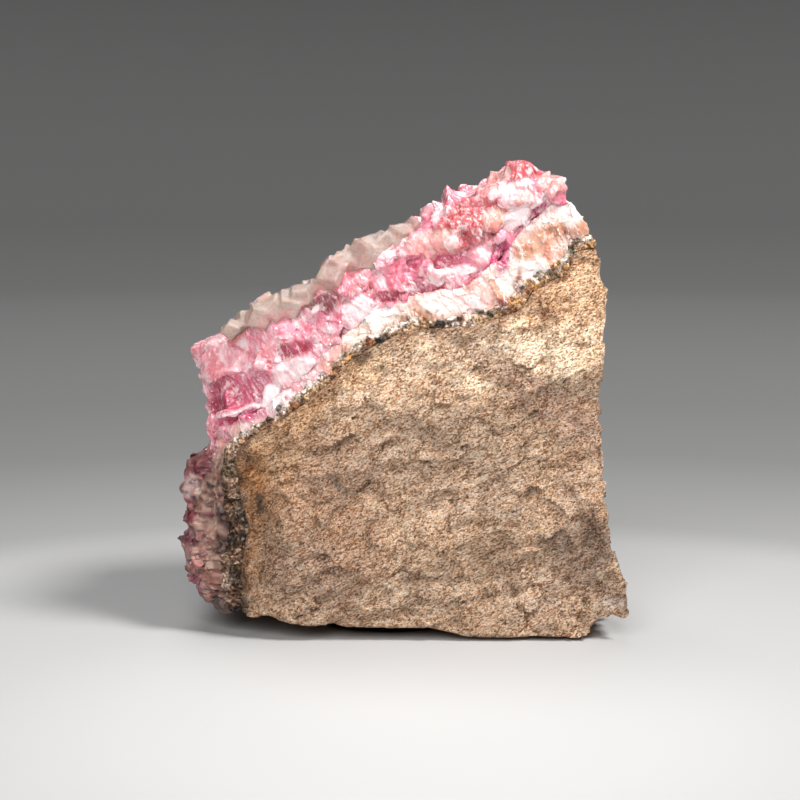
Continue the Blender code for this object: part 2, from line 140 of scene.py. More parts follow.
# Crystals that stand out in the broken section: x and z of the middle, half length, half width, turn, how
# far each stands out, and its kind.
CRUST_CRYSTALS = [
    (-35.5, 52.2, 3.2, 2.2, 20, 0.5, "pale"),
    (-32.6, 49.6, 3.6, 2.0, 20, 0.5, "pale"),
    (-29.7, 44.6, 5.8, 3.0, 15, -0.5, "plum"),
    (-33.6, 42.2, 1.8, 1.3, 20, -0.7, "raspberry"),
    (-32.4, 47.6, 3.6, 0.5, 21, 0.6, "pale"),
    (-24.1, 43.0, 1.9, 2.3, 0, 0.4, "white"),
    (-30.0, 40.4, 4.8, 0.6, 22, 0.5, "frost"),
    (-29.5, 39.7, 4.6, 0.8, 15, -0.2, "magenta"),
    (-25.0, 56.0, 4.0, 2.4, 12, 0.3, "lilac"),
    (-24.0, 57.8, 3.4, 1.0, 20, 0.5, "pink"),
    (-30.8, 55.4, 1.9, 1.8, 30, 0.4, "shell"),
    (-20.2, 51.8, 3.2, 1.3, 15, -0.5, "raspberry"),
    (-19.8, 47.9, 3.8, 2.0, 22, 0.4, "frost"),
    (-17.1, 45.4, 3.4, 0.9, 35, 0.0, "lilac"),
    (-14.6, 59.9, 2.3, 1.7, 30, -0.4, "wine"),
    (-16.0, 59.1, 1.1, 0.6, 60, 0.2, "white"),
    (-16.6, 56.8, 2.4, 1.4, 20, 0.2, "lilac"),
    (-11.3, 64.6, 3.0, 1.5, 95, 1.2, "rose"),
    (-8.4, 65.4, 3.0, 2.1, 95, 0.5, "pink"),
    (-4.7, 69.2, 1.9, 1.2, 15, 1.2, "white"),
    (-3.4, 64.8, 2.9, 2.2, 20, 0.3, "lilac"),
    (-4.0, 61.4, 3.3, 0.9, 10, -0.5, "raspberry"),
    (-8.3, 58.4, 3.2, 2.3, 40, 0.3, "frost"),
    (11.7, 75.3, 6.2, 4.0, 42, 1.0, "salmon"),
    (15.7, 75.4, 2.7, 1.4, 15, 0.7, "peach"),
    (8.9, 75.4, 2.6, 1.4, 70, 0.7, "salmon"),
    (9.4, 79.4, 3.8, 1.0, 22, -0.2, "rose"),
    (2.5, 73.8, 2.6, 1.8, 35, 0.3, "rose"),
    (4.0, 76.7, 1.5, 1.0, 45, 0.5, "pale"),
    (4.6, 70.9, 4.4, 2.3, 15, 0.6, "shell"),
    (20.3, 84.3, 2.9, 2.1, 10, 0.7, "salmon"),
    (15.5, 82.3, 3.8, 1.6, 30, 0.3, "shell"),
    (21.2, 81.8, 1.6, 0.7, 10, 0.5, "white"),
    (17.4, 80.2, 2.5, 1.1, 25, 0.5, "white"),
    (26.5, 81.9, 2.5, 2.2, 30, 0.6, "shell"),
    (21.6, 79.0, 1.8, 1.6, 60, 0.2, "shell"),
    (27.4, 79.0, 2.0, 0.8, 30, -0.2, "lilac"),
    (24.2, 76.7, 2.2, 0.9, 40, -0.4, "magenta"),
    (20.0, 75.6, 2.8, 1.5, 35, 0.4, "frost"),
    (14.0, 69.4, 2.2, 2.0, 45, 0.3, "pale"),
    (16.9, 68.6, 3.0, 1.3, 72, -0.5, "magenta"),
    (17.7, 68.6, 1.0, 0.8, 60, -0.7, "raspberry"),
    (8.4, 67.7, 3.2, 1.2, 12, -0.4, "plum"),
    (8.5, 65.7, 4.2, 0.7, 5, 0.3, "frost"),
    (14.8, 64.4, 2.3, 1.5, 20, 0.5, "lilac"),
    (0.2, 66.4, 3.6, 2.2, 20, 0.2, "lilac"),
    (1.6, 67.6, 1.3, 0.9, 30, -0.4, "plum"),
    (2.3, 62.6, 2.0, 1.7, 40, 0.2, "raspberry"),
    (6.8, 61.8, 2.2, 0.9, 10, -0.1, "magenta"),
]

# How veiled the named crystals are, from -1 for clear to 1 for white.
VEILED = {"frost": 0.6, "white": 1.0, "shell": 0.0, "pale": 0.0, "salmon": -0.74, "rose": -0.65}
OTHERS_VEILED = -0.35

# Patches of the pale band: x and z of the middle, half length, half width, turn and kind.
BAND_PATCHES = [
    (24.6, 71.6, 4.8, 2.8, 32, "peach"),
    (27.0, 73.6, 2.0, 1.0, 30, "tan"),
    (22.4, 69.8, 2.0, 1.0, 20, "tan"),
    (29.4, 76.2, 2.0, 1.9, 60, "white"),
    (28.8, 73.0, 1.0, 0.6, 30, "brown"),
    (22.9, 66.2, 1.9, 1.7, 60, "white"),
    (20.6, 63.7, 2.6, 0.5, 85, "brown"),
    (9.0, 60.0, 6.4, 1.7, 8, "petal"),
    (17.5, 60.8, 1.3, 0.6, 0, "brown"),
    (6.0, 59.4, 2.4, 1.0, 12, "white"),
    (1.2, 58.0, 4.0, 1.0, 10, "tan"),
    (-8.0, 55.0, 3.4, 1.6, 20, "cream"),
    (-21.0, 42.6, 9.0, 2.4, 33, "frost"),
    (-17.0, 46.0, 4.0, 1.6, 33, "pale"),
    (-25.0, 39.6, 2.0, 1.0, 30, "pale"),
    (-27.0, 37.2, 5.0, 1.2, 28, "shell"),
    (-30.0, 41.3, 4.8, 0.7, 20, "frost"),
    (-29.5, 39.7, 4.6, 0.9, 15, "magenta"),
    (-33.0, 37.3, 1.8, 1.2, -40, "magenta"),
    (-24.1, 42.8, 1.4, 1.7, 0, "frost"),
    (-20.0, 46.5, 5.0, 1.6, 25, "pale"),
    (17.9, 68.2, 3.0, 1.1, 72, "magenta"),
]

# The shaded left side, where the layers are mixed: the colours there, kept dark partly as painted shade, the
# kinds whose patches cover the most, how much painted shade darkens the ore in red, green and blue, and the
# patches, given as the band's are.
LEFT_KINDS = {
    "wine": (0.16, 0.012, 0.035),
    "mauve": (0.19, 0.055, 0.08),
    "blush": (0.40, 0.225, 0.20),
    "ash": (0.27, 0.15, 0.11),
    "rim": (0.60, 0.43, 0.34),
    "pit": (0.07, 0.03, 0.022),
    "snow": (0.66, 0.52, 0.49),
    "umber": (0.15, 0.075, 0.045),
    "moss": (0.11, 0.095, 0.06),
    "black": (0.02, 0.016, 0.012),
    "rust": (0.34, 0.15, 0.05),
}
LEFT_CLEAR_KINDS = ("wine", "mauve")
LEFT_PAINTED_SHADE = (0.35, 0.42, 0.50)
LEFT_PATCHES = [
    (-38.9, 22.0, 1.2, 9.0, 0, "mauve"),
    (-34.4, 22.0, 1.8, 5.0, 0, "ash"),
    (-30.0, 26.0, 2.6, 8.0, 0, "umber"),
    (-31.0, 9.0, 3.0, 6.0, 0, "umber"),
    (-33.4, 35.0, 3.2, 1.0, 18, "blush"),
    (-35.8, 35.0, 1.2, 1.0, 45, "wine"),
    (-37.0, 29.8, 3.2, 2.2, 38, "wine"),
    (-34.4, 31.4, 1.6, 0.9, 20, "blush"),
    (-38.0, 27.0, 1.8, 2.0, 0, "snow"),
    (-38.8, 22.2, 1.3, 1.9, 0, "wine"),
    (-37.6, 14.0, 5.0, 1.2, -63, "blush"),
    (-39.0, 17.6, 1.0, 1.6, 0, "mauve"),
    (-37.6, 8.4, 1.2, 2.2, 20, "mauve"),
    (-34.6, 19.4, 1.6, 1.2, 30, "rim"),
    (-35.6, 22.2, 1.1, 0.4, 0, "wine"),
    (-32.0, 16.6, 1.8, 2.0, -30, "black"),
    (-31.6, 21.6, 0.9, 2.4, 20, "black"),
    (-29.8, 24.6, 1.0, 3.0, 8, "moss"),
    (-30.6, 31.0, 1.8, 1.8, 30, "moss"),
    (-28.8, 29.4, 0.7, 2.4, -8, "black"),
    (-27.6, 33.4, 1.6, 2.2, 20, "rust"),
    (-28.6, 18.6, 0.8, 2.2, 0, "black"),
    (-31.4, 10.6, 1.4, 1.2, 30, "rim"),
    (-29.6, 12.4, 1.0, 1.4, 0, "moss"),
    (-32.6, 6.6, 0.9, 1.3, 40, "black"),
    (-29.8, 5.4, 1.6, 0.6, -20, "black"),
    (-33.6, 11.6, 1.2, 2.0, -40, "ash"),
    (-29.0, 21.4, 0.9, 1.2, 30, "rust"),
    (-30.4, 28.0, 1.0, 0.7, 30, "rim"),
    (-28.6, 13.6, 0.8, 1.6, 10, "rust"),
    (-30.8, 14.0, 1.2, 0.6, -30, "rim"),
    (-29.4, 33.6, 1.2, 0.7, 30, "black"),
]

# The ore seam's minerals, and its patches, given in the same way.
ORE = {
    "black": (0.018, 0.017, 0.016),
    "grey": (0.12, 0.10, 0.085),
    "green": (0.13, 0.13, 0.095),
    "rust": (0.20, 0.085, 0.04),
    "orange": (0.46, 0.22, 0.07),
    "sand": (0.42, 0.26, 0.15),
    "chalk": (0.66, 0.54, 0.47),
}
ORE_PATCHES = [
    (32.4, 71.6, 2.0, 0.9, 20, "black"),
    (29.4, 69.4, 2.2, 1.0, 35, "green"),
    (26.8, 67.4, 2.4, 1.2, 50, "orange"),
    (23.4, 64.0, 1.6, 0.9, 50, "black"),
    (22.0, 62.6, 2.0, 1.2, 40, "rust"),
    (19.6, 60.6, 2.2, 1.0, 20, "orange"),
    (14.6, 58.0, 2.0, 1.0, 15, "sand"),
    (10.4, 56.4, 2.4, 0.9, 12, "chalk"),
    (5.8, 56.0, 1.5, 1.0, 12, "black"),
    (7.6, 55.2, 1.4, 0.7, 20, "rust"),
    (2.0, 54.4, 2.0, 0.8, 15, "rust"),
    (-3.0, 53.4, 2.0, 1.2, 20, "black"),
    (-6.6, 51.8, 1.6, 1.0, 30, "grey"),
    (-9.6, 49.6, 1.6, 1.0, 35, "orange"),
    (-12.4, 47.4, 1.8, 0.8, 40, "rust"),
    (-17.0, 42.4, 2.6, 0.9, 40, "black"),
    (-22.4, 38.6, 2.4, 0.8, 32, "grey"),
    (-27.0, 36.0, 2.4, 0.9, 25, "rust"),
    (-29.6, 31.0, 2.0, 2.0, 0, "green"),
    (-29.4, 26.0, 1.6, 3.4, 0, "black"),
    (-29.0, 20.0, 1.8, 2.6, 0, "grey"),
    (-29.6, 14.6, 1.6, 2.4, 0, "green"),
    (-30.0, 9.0, 1.8, 2.6, 0, "black"),
    (-29.0, 4.4, 2.4, 1.6, 0, "rust"),
]

# The sandstone's stains: x and z of the middle, half length, half width, turn, strength and colour.
STONE_STAINS = [
    (8.0, 54.5, 24.0, 6.5, 20, 0.6, (0.72, 0.50, 0.335)),
    (30.0, 60.0, 8.0, 11.0, 60, 0.8, (0.86, 0.54, 0.32)),
    (23.0, 51.0, 12.0, 5.0, 20, 0.8, (0.92, 0.70, 0.49)),
    (-14.0, 46.0, 14.0, 4.0, 33, 0.6, (0.68, 0.43, 0.24)),
    (-22.0, 34.0, 5.0, 12.0, -8, 0.55, (0.55, 0.32, 0.16)),
    (-26.0, 28.0, 2.2, 6.0, 6, 0.8, (0.44, 0.19, 0.06)),
    (-16.0, 22.0, 10.0, 16.0, 0, 0.6, (0.34, 0.19, 0.115)),
    (22.0, 45.0, 17.0, 3.0, -32, 0.65, (0.40, 0.24, 0.165)),
    (4.0, 38.0, 14.0, 4.0, -14, 0.25, (0.36, 0.29, 0.23)),
    (-8.0, 31.0, 8.0, 4.0, 25, 0.35, (0.27, 0.19, 0.145)),
    (-8.5, 40.5, 7.0, 3.2, 30, 0.75, (0.66, 0.45, 0.30)),
    (32.0, 30.0, 6.0, 9.0, 0, 0.4, (0.52, 0.33, 0.22)),
    (26.0, 60.0, 2.8, 2.2, 40, 0.6, (0.40, 0.21, 0.11)),
    (32.0, 12.0, 7.0, 8.0, 20, 0.75, (0.19, 0.125, 0.09)),
    (4.0, 8.0, 9.0, 4.0, 8, 0.4, (0.31, 0.22, 0.155)),
    (22.0, 8.0, 6.0, 5.0, 8, 0.5, (0.54, 0.375, 0.265)),
    (12.0, 28.0, 14.0, 6.0, 0, 0.4, (0.56, 0.395, 0.28)),
    (-16.0, 10.0, 10.0, 8.0, 10, 0.45, (0.28, 0.19, 0.14)),
    (-26.0, 21.0, 2.2, 14.0, 2, 0.45, (0.22, 0.125, 0.07)),
    (37.5, 6.5, 2.4, 1.6, 0, 0.6, (0.46, 0.36, 0.30)),
    (0.0, 2.5, 26.0, 2.0, 0, 0.5, (0.44, 0.28, 0.18)),
]

# Low ledges of the sandstone's front: x and z of the middle, half length, turn, width and rise. The surface
# stands out below the ledge's line and falls back above it.
STONE_LEDGES = [
    (0.0, 44.5, 11.0, 6, 2.2, 0.9),
    (17.0, 26.5, 7.0, 16, 2.0, 1.0),
    (-10.0, 33.0, 9.0, 30, 2.2, 0.8),
    (14.0, 37.0, 10.0, -24, 2.4, 0.8),
    (24.0, 20.0, 9.0, 24, 2.2, 0.7),
    (-6.0, 18.0, 8.0, 34, 2.4, 0.8),
    (26.0, 50.0, 9.0, 14, 2.0, 0.8),
    (6.0, 9.0, 12.0, 12, 2.0, 0.7),
    (-17.0, 24.0, 6.0, 52, 1.8, 0.8),
]

# How far the front edge of the base is broken away upwards.
BASE_GAP = 1.8

# The smoky crystals along the front edge, as the front view shows them: x and z of the outer tip and the
# edge's length. Then the number of those scattered behind them.
SMOKY_ROW = [
    (-31.3, 57.4, 2.2), (-29.6, 58.7, 2.4), (-27.6, 60.2, 3.0), (-26.8, 60.8, 2.6), (-25.3, 60.6, 2.4),
    (-23.7, 61.2, 2.6), (-22.1, 62.7, 3.2), (-20.3, 63.3, 2.6), (-18.5, 63.5, 2.8), (-16.9, 64.6, 2.6),
    (-14.3, 67.8, 3.4), (-13.4, 68.8, 3.0), (-12.0, 69.6, 2.6), (-10.5, 70.7, 3.2), (-9.1, 71.8, 3.6),
    (-7.5, 72.0, 2.2), (-5.9, 72.3, 1.8), (-4.3, 73.4, 2.0), (-2.7, 74.2, 2.4), (-1.0, 74.5, 2.2),
]
SMOKY_SCATTER = 70

# The floor's section in metres, from its middle out to the top of the wall.
PAPER_PROFILE = [(0.0, 0.0), (0.7, 0.0), (0.9, 0.02), (1.05, 0.08), (1.15, 0.18), (1.2, 0.35), (1.2, 1.6)]

# A painted pool of light on the paper: how pale it is at each distance in metres from a spot in front of
# the specimen.
PAPER_REACH = 1.6
PAPER_PAINTED_LIGHT = [
    (0.0, 0.56), (0.045, 0.52), (0.07, 0.47), (0.11, 0.45), (0.14, 0.42), (0.16, 0.32), (0.26, 0.225),
    (0.36, 0.215), (0.70, 0.26), (1.0, 0.24), (1.12, 0.225), (1.27, 0.14),
]

# A painted shadow on the paper in the gap under the base: the middle of that spot, and one over its reach
# each way.
PAINTED_SHADOW_MIDDLE = (-3.0 * MM, -9.0 * MM, 0.0)
PAINTED_SHADOW_REACH = (1 / (14.0 * MM), 1 / (9.5 * MM), 0.0)

# What the lights are aimed at.
LIGHTS_TARGET = Vector((0.0, 0.0, 0.04))


def smoothstep(values):
    """From 0 at 0 to 1 at 1, level at both ends."""
    values = np.clip(values, 0.0, 1.0)
    return values * values * (3 - 2 * values)


def hashed(cells, seed, count):
    """That many random values from 0 to 1 for each row of three whole numbers, the same every time."""
    state = (cells.astype(np.int64) @ np.array([73856093, 19349663, 83492791]) + seed * 7919) & 0xFFFFFFFF
    values = []
    for _ in range(count):
        state ^= state >> 15
        state = (state * 0x2C1B3C6D) & 0xFFFFFFFF
        state ^= state >> 12
        state = (state * 0x297A2D39 + 0x9E3779B9) & 0xFFFFFFFF
        state ^= state >> 15
        values.append(state / 0xFFFFFFFF)
    return np.stack(values, 1)


def smooth_noise(points, size, seed):
    """Smooth random values from -1 to 1 that change over that size in metres."""
    scaled = points / size
    corner = np.floor(scaled).astype(np.int64)
    part = smoothstep(scaled - corner)
    total = np.zeros(len(points))
    for offset in itertools.product((0, 1), repeat=3):
        weight = np.prod(np.where(np.array(offset) == 1, part, 1 - part), axis=1)
        total += weight * hashed(corner + np.array(offset), seed, 1)[:, 0]
    return total * 2 - 1


def noise(points, size, seed, layers=1):
    """Smooth noise that changes over that size in millimetres, with finer and weaker layers added to it."""
    total = np.zeros(len(points))
    for layer in range(layers):
        total += smooth_noise(points, size * MM / 2 ** layer, seed + layer) / 2 ** layer
    return total


def turned(points, degrees, stretch):
    """The points in axes turned in the front view, with the first axis shortened by that stretch."""
    angle = math.radians(degrees)
    along = points[:, 0] * math.cos(angle) + points[:, 2] * math.sin(angle)
    across = points[:, 2] * math.cos(angle) - points[:, 0] * math.sin(angle)
    return np.stack([along / stretch, points[:, 1], across], 1)


def from_middle(points, x, z, turn):
    """How far each point is from a middle in millimetres, along and across axes turned in the front view."""
    local = turned(points - np.array([x * MM, 0.0, z * MM]), turn, 1.0) / MM
    return local[:, 0], local[:, 2]


class Cells:
    """The nearest of many random spots to each point: its place, its values and how far its border is."""

    def __init__(self, points, size, seed):
        scaled = points / (size * MM)
        home = np.floor(scaled).astype(np.int64)
        nearest = np.full(len(points), np.inf)
        second = nearest.copy()
        spot, cell = np.zeros_like(scaled), np.zeros_like(home)
        for offset in itertools.product((-1, 0, 1), repeat=3):
            there = home + np.array(offset)
            place = there + hashed(there, seed, 3)
            away = ((scaled - place) ** 2).sum(1)
            closer = away < nearest
            second = np.where(closer, nearest, np.minimum(second, away))
            nearest = np.where(closer, away, nearest)
            spot[closer], cell[closer] = place[closer], there[closer]
        self.spots = spot * (size * MM)
        self.values = hashed(cell, seed + 101, 5)
        self.border = (np.sqrt(second) - np.sqrt(nearest)) * (size * MM)

    def steps(self, points, width):
        """Steps of that width across each cell, from -1 to 1, as broken calcite shows."""
        way = self.values[:, [1, 2, 0]] * 2 - 1
        way /= np.linalg.norm(way, axis=1)[:, None]
        along = ((points - self.spots) * way).sum(1) / (width * MM)
        return (along - np.floor(along)) * 2 - 1

    def facets(self, points, slope, step):
        """A height for each point: every cell is a flat face, leant at random and a step up or down."""
        lean = (self.values[:, :3] * 2 - 1) * slope
        return ((points - self.spots) * lean).sum(1) + (self.values[:, 3] * 2 - 1) * (step * MM)


def domes(points, size, seed):
    """From 1 in the middle of each round lump to 0 at its border."""
    cells = Cells(points, size, seed)
    return 1 - np.clip(((points - cells.spots) ** 2).sum(1) / (0.7 * size * MM) ** 2, 0, 1)


def merged_copy(node):
    """A copy of a solid's surface, with its loose triangles joined."""
    bm = bmesh.new()
    bm.from_mesh(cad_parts[node].data)
    bmesh.ops.remove_doubles(bm, verts=bm.verts, dist=1e-6)
    return bm


def linked(data, name):
    """A new object in the scene, for a mesh, a light or a camera."""
    made = bpy.data.objects.new(name, data)
    bpy.context.scene.collection.objects.link(made)
    return made


def object_from(bm, name):
    mesh = bpy.data.meshes.new(name)
    bm.to_mesh(mesh)
    bm.free()
    return linked(mesh, name)


def evenly_faced(bm, name, size):
    """The surface again, as one skin of even faces of that size."""
    source = object_from(bm, name + "_source")
    modifier = source.modifiers.new("even_faces", "REMESH")
    modifier.mode = "VOXEL"
    modifier.voxel_size = size
    graph = bpy.context.evaluated_depsgraph_get()
    mesh = bpy.data.meshes.new_from_object(source.evaluated_get(graph))
    bpy.data.objects.remove(source)
    mesh.name = name
    return mesh


def finer_front(mesh):
    """Divides the faces of the front section once more, because they show from nearest."""
    bm = bmesh.new()
    bm.from_mesh(mesh)
    front = [face for face in bm.faces if face.normal.y < -0.25 and face.calc_center_median().y < 0.0]
    edges = {edge for face in front for edge in face.edges}
    bmesh.ops.subdivide_edges(bm, edges=list(edges), cuts=1, use_grid_fill=True)
    bm.to_mesh(mesh)
    bm.free()
    return mesh


def triples(items, name):
    flat = np.empty(len(items) * 3, np.float32)
    items.foreach_get(name, flat)
    return flat.reshape(-1, 3).astype(float)


def points_and_normals(mesh):
    return triples(mesh.vertices, "co"), triples(mesh.vertex_normals, "vector")


def layer_mesh(node, name, size):
    """An even mesh of a layer with a finer front, and its points and normals."""
    mesh = finer_front(evenly_faced(merged_copy(node), name, size))
    return mesh, *points_and_normals(mesh)


def put_points(mesh, points):
    mesh.vertices.foreach_set("co", points.astype(np.float32).ravel())
    mesh.update()


def put_colours(mesh, colours):
    """Stores a colour for each point of the mesh, for its material to read."""
    attribute = mesh.attributes.new("tint", "FLOAT_COLOR", "POINT")
    full = np.concatenate([colours, np.ones((len(colours), 1))], axis=1)
    attribute.data.foreach_set("color", full.astype(np.float32).ravel())


def put_frost(mesh, frost):
    """Stores how frosted each point is, from -1 for clear to 1 for white."""
    attribute = mesh.attributes.new("frost", "FLOAT", "POINT")
    attribute.data.foreach_set("value", frost.astype(np.float32))


def smoothed(mesh, values, rounds):
    """Values or points of a mesh, each moved to the mean of its neighbours that many times."""
    pairs = np.empty(len(mesh.edges) * 2, np.int32)
    mesh.edges.foreach_get("vertices", pairs)
    pairs = pairs.reshape(-1, 2)
    count = np.bincount(pairs.ravel(), minlength=len(values)).clip(1)
    flat = values.reshape(len(values), -1)
    for _ in range(rounds):
        total = np.zeros_like(flat)
        for column in range(flat.shape[1]):
            total[:, column] += np.bincount(pairs[:, 0], flat[pairs[:, 1], column], len(flat))
            total[:, column] += np.bincount(pairs[:, 1], flat[pairs[:, 0], column], len(flat))
        flat = total / count[:, None]
    return flat.reshape(values.shape)


def finished(mesh, name, material, sharp):
    """Links a piece with its material and slot, and with sharp edges where it turns by more than that."""
    mesh.materials.clear()
    mesh.materials.append(material)
    mesh.shade_smooth()
    mesh.set_sharp_from_angle(angle=math.radians(sharp))
    piece = linked(mesh, name)
    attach(piece, "root")
    return piece


def tree_of(node):
    bm = merged_copy(node)
    tree = BVHTree.FromBMesh(bm)
    bm.free()
    return tree


def distance_to(node, points):
    """How far each point is from a solid's surface."""
    tree = tree_of(node)
    return np.array([tree.find_nearest(Vector(point))[3] for point in points])


def section_depths(node, points):
    """How far each point lies behind the front face of a solid, and how far before its back face."""
    tree = tree_of(node)
    start, end = CAD_BOX[0].y - 10 * MM, CAD_BOX[1].y + 10 * MM
    depths = []
    for x, y, z in points:
        front = tree.ray_cast(Vector((x, start, z)), Vector((0, 1, 0)))[0]
        back = tree.ray_cast(Vector((x, end, z)), Vector((0, -1, 0)))[0]
        depths.append((y - front.y, back.y - y) if front and back else (0.0, 0.0))
    return np.array(depths).T


def on_the_left(points):
    """From 0 to 1 where the vein runs down the shaded left side."""
    x, _, z = (points / MM).T
    return smoothstep((-27.0 - x) / 2.0) * smoothstep((36.0 - z) / 5.0)


def wavered(points):
    """The points shifted by a field that all the layers share, so that their borders wander together."""
    x, _, z = (points / MM).T
    reach = (0.5 + 0.6 * on_the_left(points)) * smoothstep(z / 6)
    across, up = noise(points, 5, 91, 3) * reach, noise(points, 5, 95, 3) * reach
    for middle_x, middle_z, size, shift_x, shift_z in SHIFTS:
        share = smoothstep(1 - np.hypot(x - middle_x, z - middle_z) / size)
        across, up = across + share * shift_x, up + share * shift_z
    up += LEFT_END_LIFT * smoothstep((-14.0 - x) / 20.0) * smoothstep(1 - z / 12)
    return points + np.stack([across, np.zeros(len(points)), up], 1) * MM


def view_axes():
    """The way the camera looks, and the way that is up in its picture."""
    angle = math.radians(CAMERA_RISE)
    return Vector((0.0, math.cos(angle), -math.sin(angle))), Vector((0.0, math.sin(angle), math.cos(angle)))


def as_seen(points):
    """Where the points show in the front view, measured on the plane of the specimen's front."""
    forwards, upwards = view_axes()
    away = points - np.array(CAMERA_TARGET)
    near = VIEW_SCALE * CAMERA_DISTANCE / (CAMERA_DISTANCE + away @ np.array(forwards))
    across, up = away[:, 0] * near, away @ np.array(upwards) * near
    return np.stack([across + SEEN_MIDDLE[0], points[:, 1], up + SEEN_MIDDLE[1]], 1)


def from_view(x, z, y):
    """The place at that depth that shows at x and z, in millimetres, in the front view."""
    forwards, upwards = view_axes()
    side, up = x * MM - SEEN_MIDDLE[0], z * MM - SEEN_MIDDLE[1]
    ray = forwards * VIEW_SCALE * CAMERA_DISTANCE + Vector((side, 0.0, 0.0)) + upwards * up
    start = CAMERA_TARGET - forwards * CAMERA_DISTANCE
    return start + ray * ((y - start.y) / ray.y)


def ragged(points, size, reach, seed):
    """The places to look a pattern up at, so that its patches get uneven edges."""
    shifts = [noise(points, size, seed + 10 * axis, 2) for axis in range(3)]
    return points + reach * MM * np.stack(shifts, 1)


def swollen(points, normals, height, across):
    """The points moved out by that height, and by more across the layer, which fills its joints."""
    move = normals * height[:, None]
    move[:, 0] += normals[:, 0] * across
    move[:, 2] += normals[:, 2] * across
    return wavered(points) + move


def mixed(colours, other, share):
    return colours + (np.asarray(other) - colours) * np.asarray(share)[:, None]


def kinds_of(cells, names):
    """A colour for each point, by the kind that its cell is."""
    palette = np.array([CALCITE[name] for name in names])
    chosen = np.minimum((cells.values[:, 4] * len(names)).astype(int), len(names) - 1)
    return palette[chosen]


def blended_kinds(values, names):
    """A colour for each point, from the first kind at 0 to the last at 1, each running into the next."""
    palette = np.array([CALCITE[name] for name in names])
    place = np.clip(values, 0, 1) * (len(names) - 1)
    low = np.minimum(place.astype(int), len(names) - 2)
    return mixed(palette[low], palette[low + 1], place - low)


def patch_share(places, patch, wander, seed):
    """From 1 in the middle of a patch on the front view to 0 outside it, with an uneven edge."""
    x, z, length, width, turn = patch
    along, across = from_middle(places, x, z, turn)
    away = np.hypot(along / length, across / width)
    return smoothstep(1.5 - away + wander * noise(places, 6, seed, 3))


def patches_on(places, patches, wander, seed, size=1.0):
    """Each patch's kind, and its share of every point."""
    for index, (x, z, length, width, turn, kind) in enumerate(patches):
        yield kind, patch_share(places, (x, z, length * size, width * size, turn), wander, seed + index)


def new_group(name, inputs, outputs):
    """A shader node group with those inputs, each a default or None for a vector, and those outputs."""
    group = bpy.data.node_groups.new(name, "ShaderNodeTree")
    for label, default in inputs.items():
        kind = "NodeSocketVector" if default is None else "NodeSocketFloat"
        made = group.interface.new_socket(name=label, in_out="INPUT", socket_type=kind)
        if default is not None:
            made.default_value = default
    for label in outputs:
        group.interface.new_socket(name=label, in_out="OUTPUT", socket_type="NodeSocketFloat")
    return group, group.nodes.new("NodeGroupInput").outputs, group.nodes.new("NodeGroupOutput").inputs


class Nodes:
    """Adds nodes to a tree and joins them, one short call for each."""

    def __init__(self, tree):
        self.tree = tree

    def put(self, target, value):
        """Links a socket to an input, or sets a plain value on it."""
        if isinstance(value, bpy.types.NodeSocket):
            self.tree.links.new(value, target)
        else:
            target.default_value = value

    def fill(self, node, **inputs):
        """Puts values on a node's inputs, named with _ for each blank."""
        for name, value in inputs.items():
            self.put(node.inputs[name.replace("_", " ")], value)
        return node.outputs

    def add(self, kind, settings=(), **inputs):
        """The outputs of a new node."""
        made = self.tree.nodes.new("ShaderNode" + kind)
        for name, value in dict(settings).items():
            setattr(made, name, value)
        return self.fill(made, **inputs)

    def group(self, name, maker, **inputs):
        """The outputs of a node group, which is made the first time."""
        made = self.tree.nodes.new("ShaderNodeGroup")
        made.node_tree = bpy.data.node_groups.get(name) or maker(name)
        return self.fill(made, **inputs)

    def operated(self, kind, operation, values):
        made = self.tree.nodes.new(kind)
        made.operation = operation
        for target, value in zip(made.inputs, values):
            self.put(target, value)
        return made

    def maths(self, operation, *values, clamp=False):
        made = self.operated("ShaderNodeMath", operation, values)
        made.use_clamp = clamp
        return made.outputs[0]

    def vector(self, operation, *values):
        made = self.operated("ShaderNodeVectorMath", operation, values)
        return made.outputs["Value" if operation in ("DOT_PRODUCT", "LENGTH") else "Vector"]

    def total(self, value, *others):
        for other in others:
            value = self.maths("ADD", value, other)
        return value

    def mix(self, share, first, second, blend="MIX"):
        made = self.tree.nodes.new("ShaderNodeMix")
        made.data_type = "RGBA"
        made.blend_type = blend
        self.put(made.inputs["Factor"], share)
        self.put(made.inputs[6], first)
        self.put(made.inputs[7], second)
        return made.outputs[2]

    def ramp(self, value, *stops):
        """A colour ramp with those stops, each a place and a grey or a colour."""
        made = self.tree.nodes.new("ShaderNodeValToRGB")
        elements = made.color_ramp.elements
        while len(elements) < len(stops):
            elements.new(0.5)
        for element, (place, shade) in zip(elements, stops):
            element.position = place
            colour = shade if isinstance(shade, tuple) else (shade, shade, shade)
            element.color = (*colour, 1.0)
        self.put(made.inputs["Fac"], value)
        return made.outputs["Color"]

    def range(self, value, low, high, to_low=0.0, to_high=1.0):
        made = self.tree.nodes.new("ShaderNodeMapRange")
        for target, number in zip(made.inputs, (value, low, high, to_low, to_high)):
            self.put(target, number)
        return made.outputs[0]

    def noise(self, vector, scale, detail=2.0, roughness=0.5, distortion=0.0):
        return self.add(
            "TexNoise", Vector=vector, Scale=scale, Detail=detail, Roughness=roughness, Distortion=distortion
        )["Fac"]

    def place(self):
        return self.add("TexCoord")["Object"]

    def stored(self, name, output="Color"):
        """What the mesh stores under that name."""
        return self.add("Attribute", {"attribute_name": name})[output]

    def stretched(self, place, lean, stretch):
        """The place in axes leaned in the front view, for a pattern that many times longer on each."""
        turn = (0.0, math.radians(lean), 0.0)
        kind = {"vector_type": "TEXTURE"}
        return self.add("Mapping", kind, Vector=place, Rotation=turn, Scale=stretch)["Vector"]

    def bump(self, shader, height, strength, distance):
        normal = self.add("Bump", Strength=strength, Distance=distance, Height=height)["Normal"]
        self.put(shader.inputs["Normal"], normal)


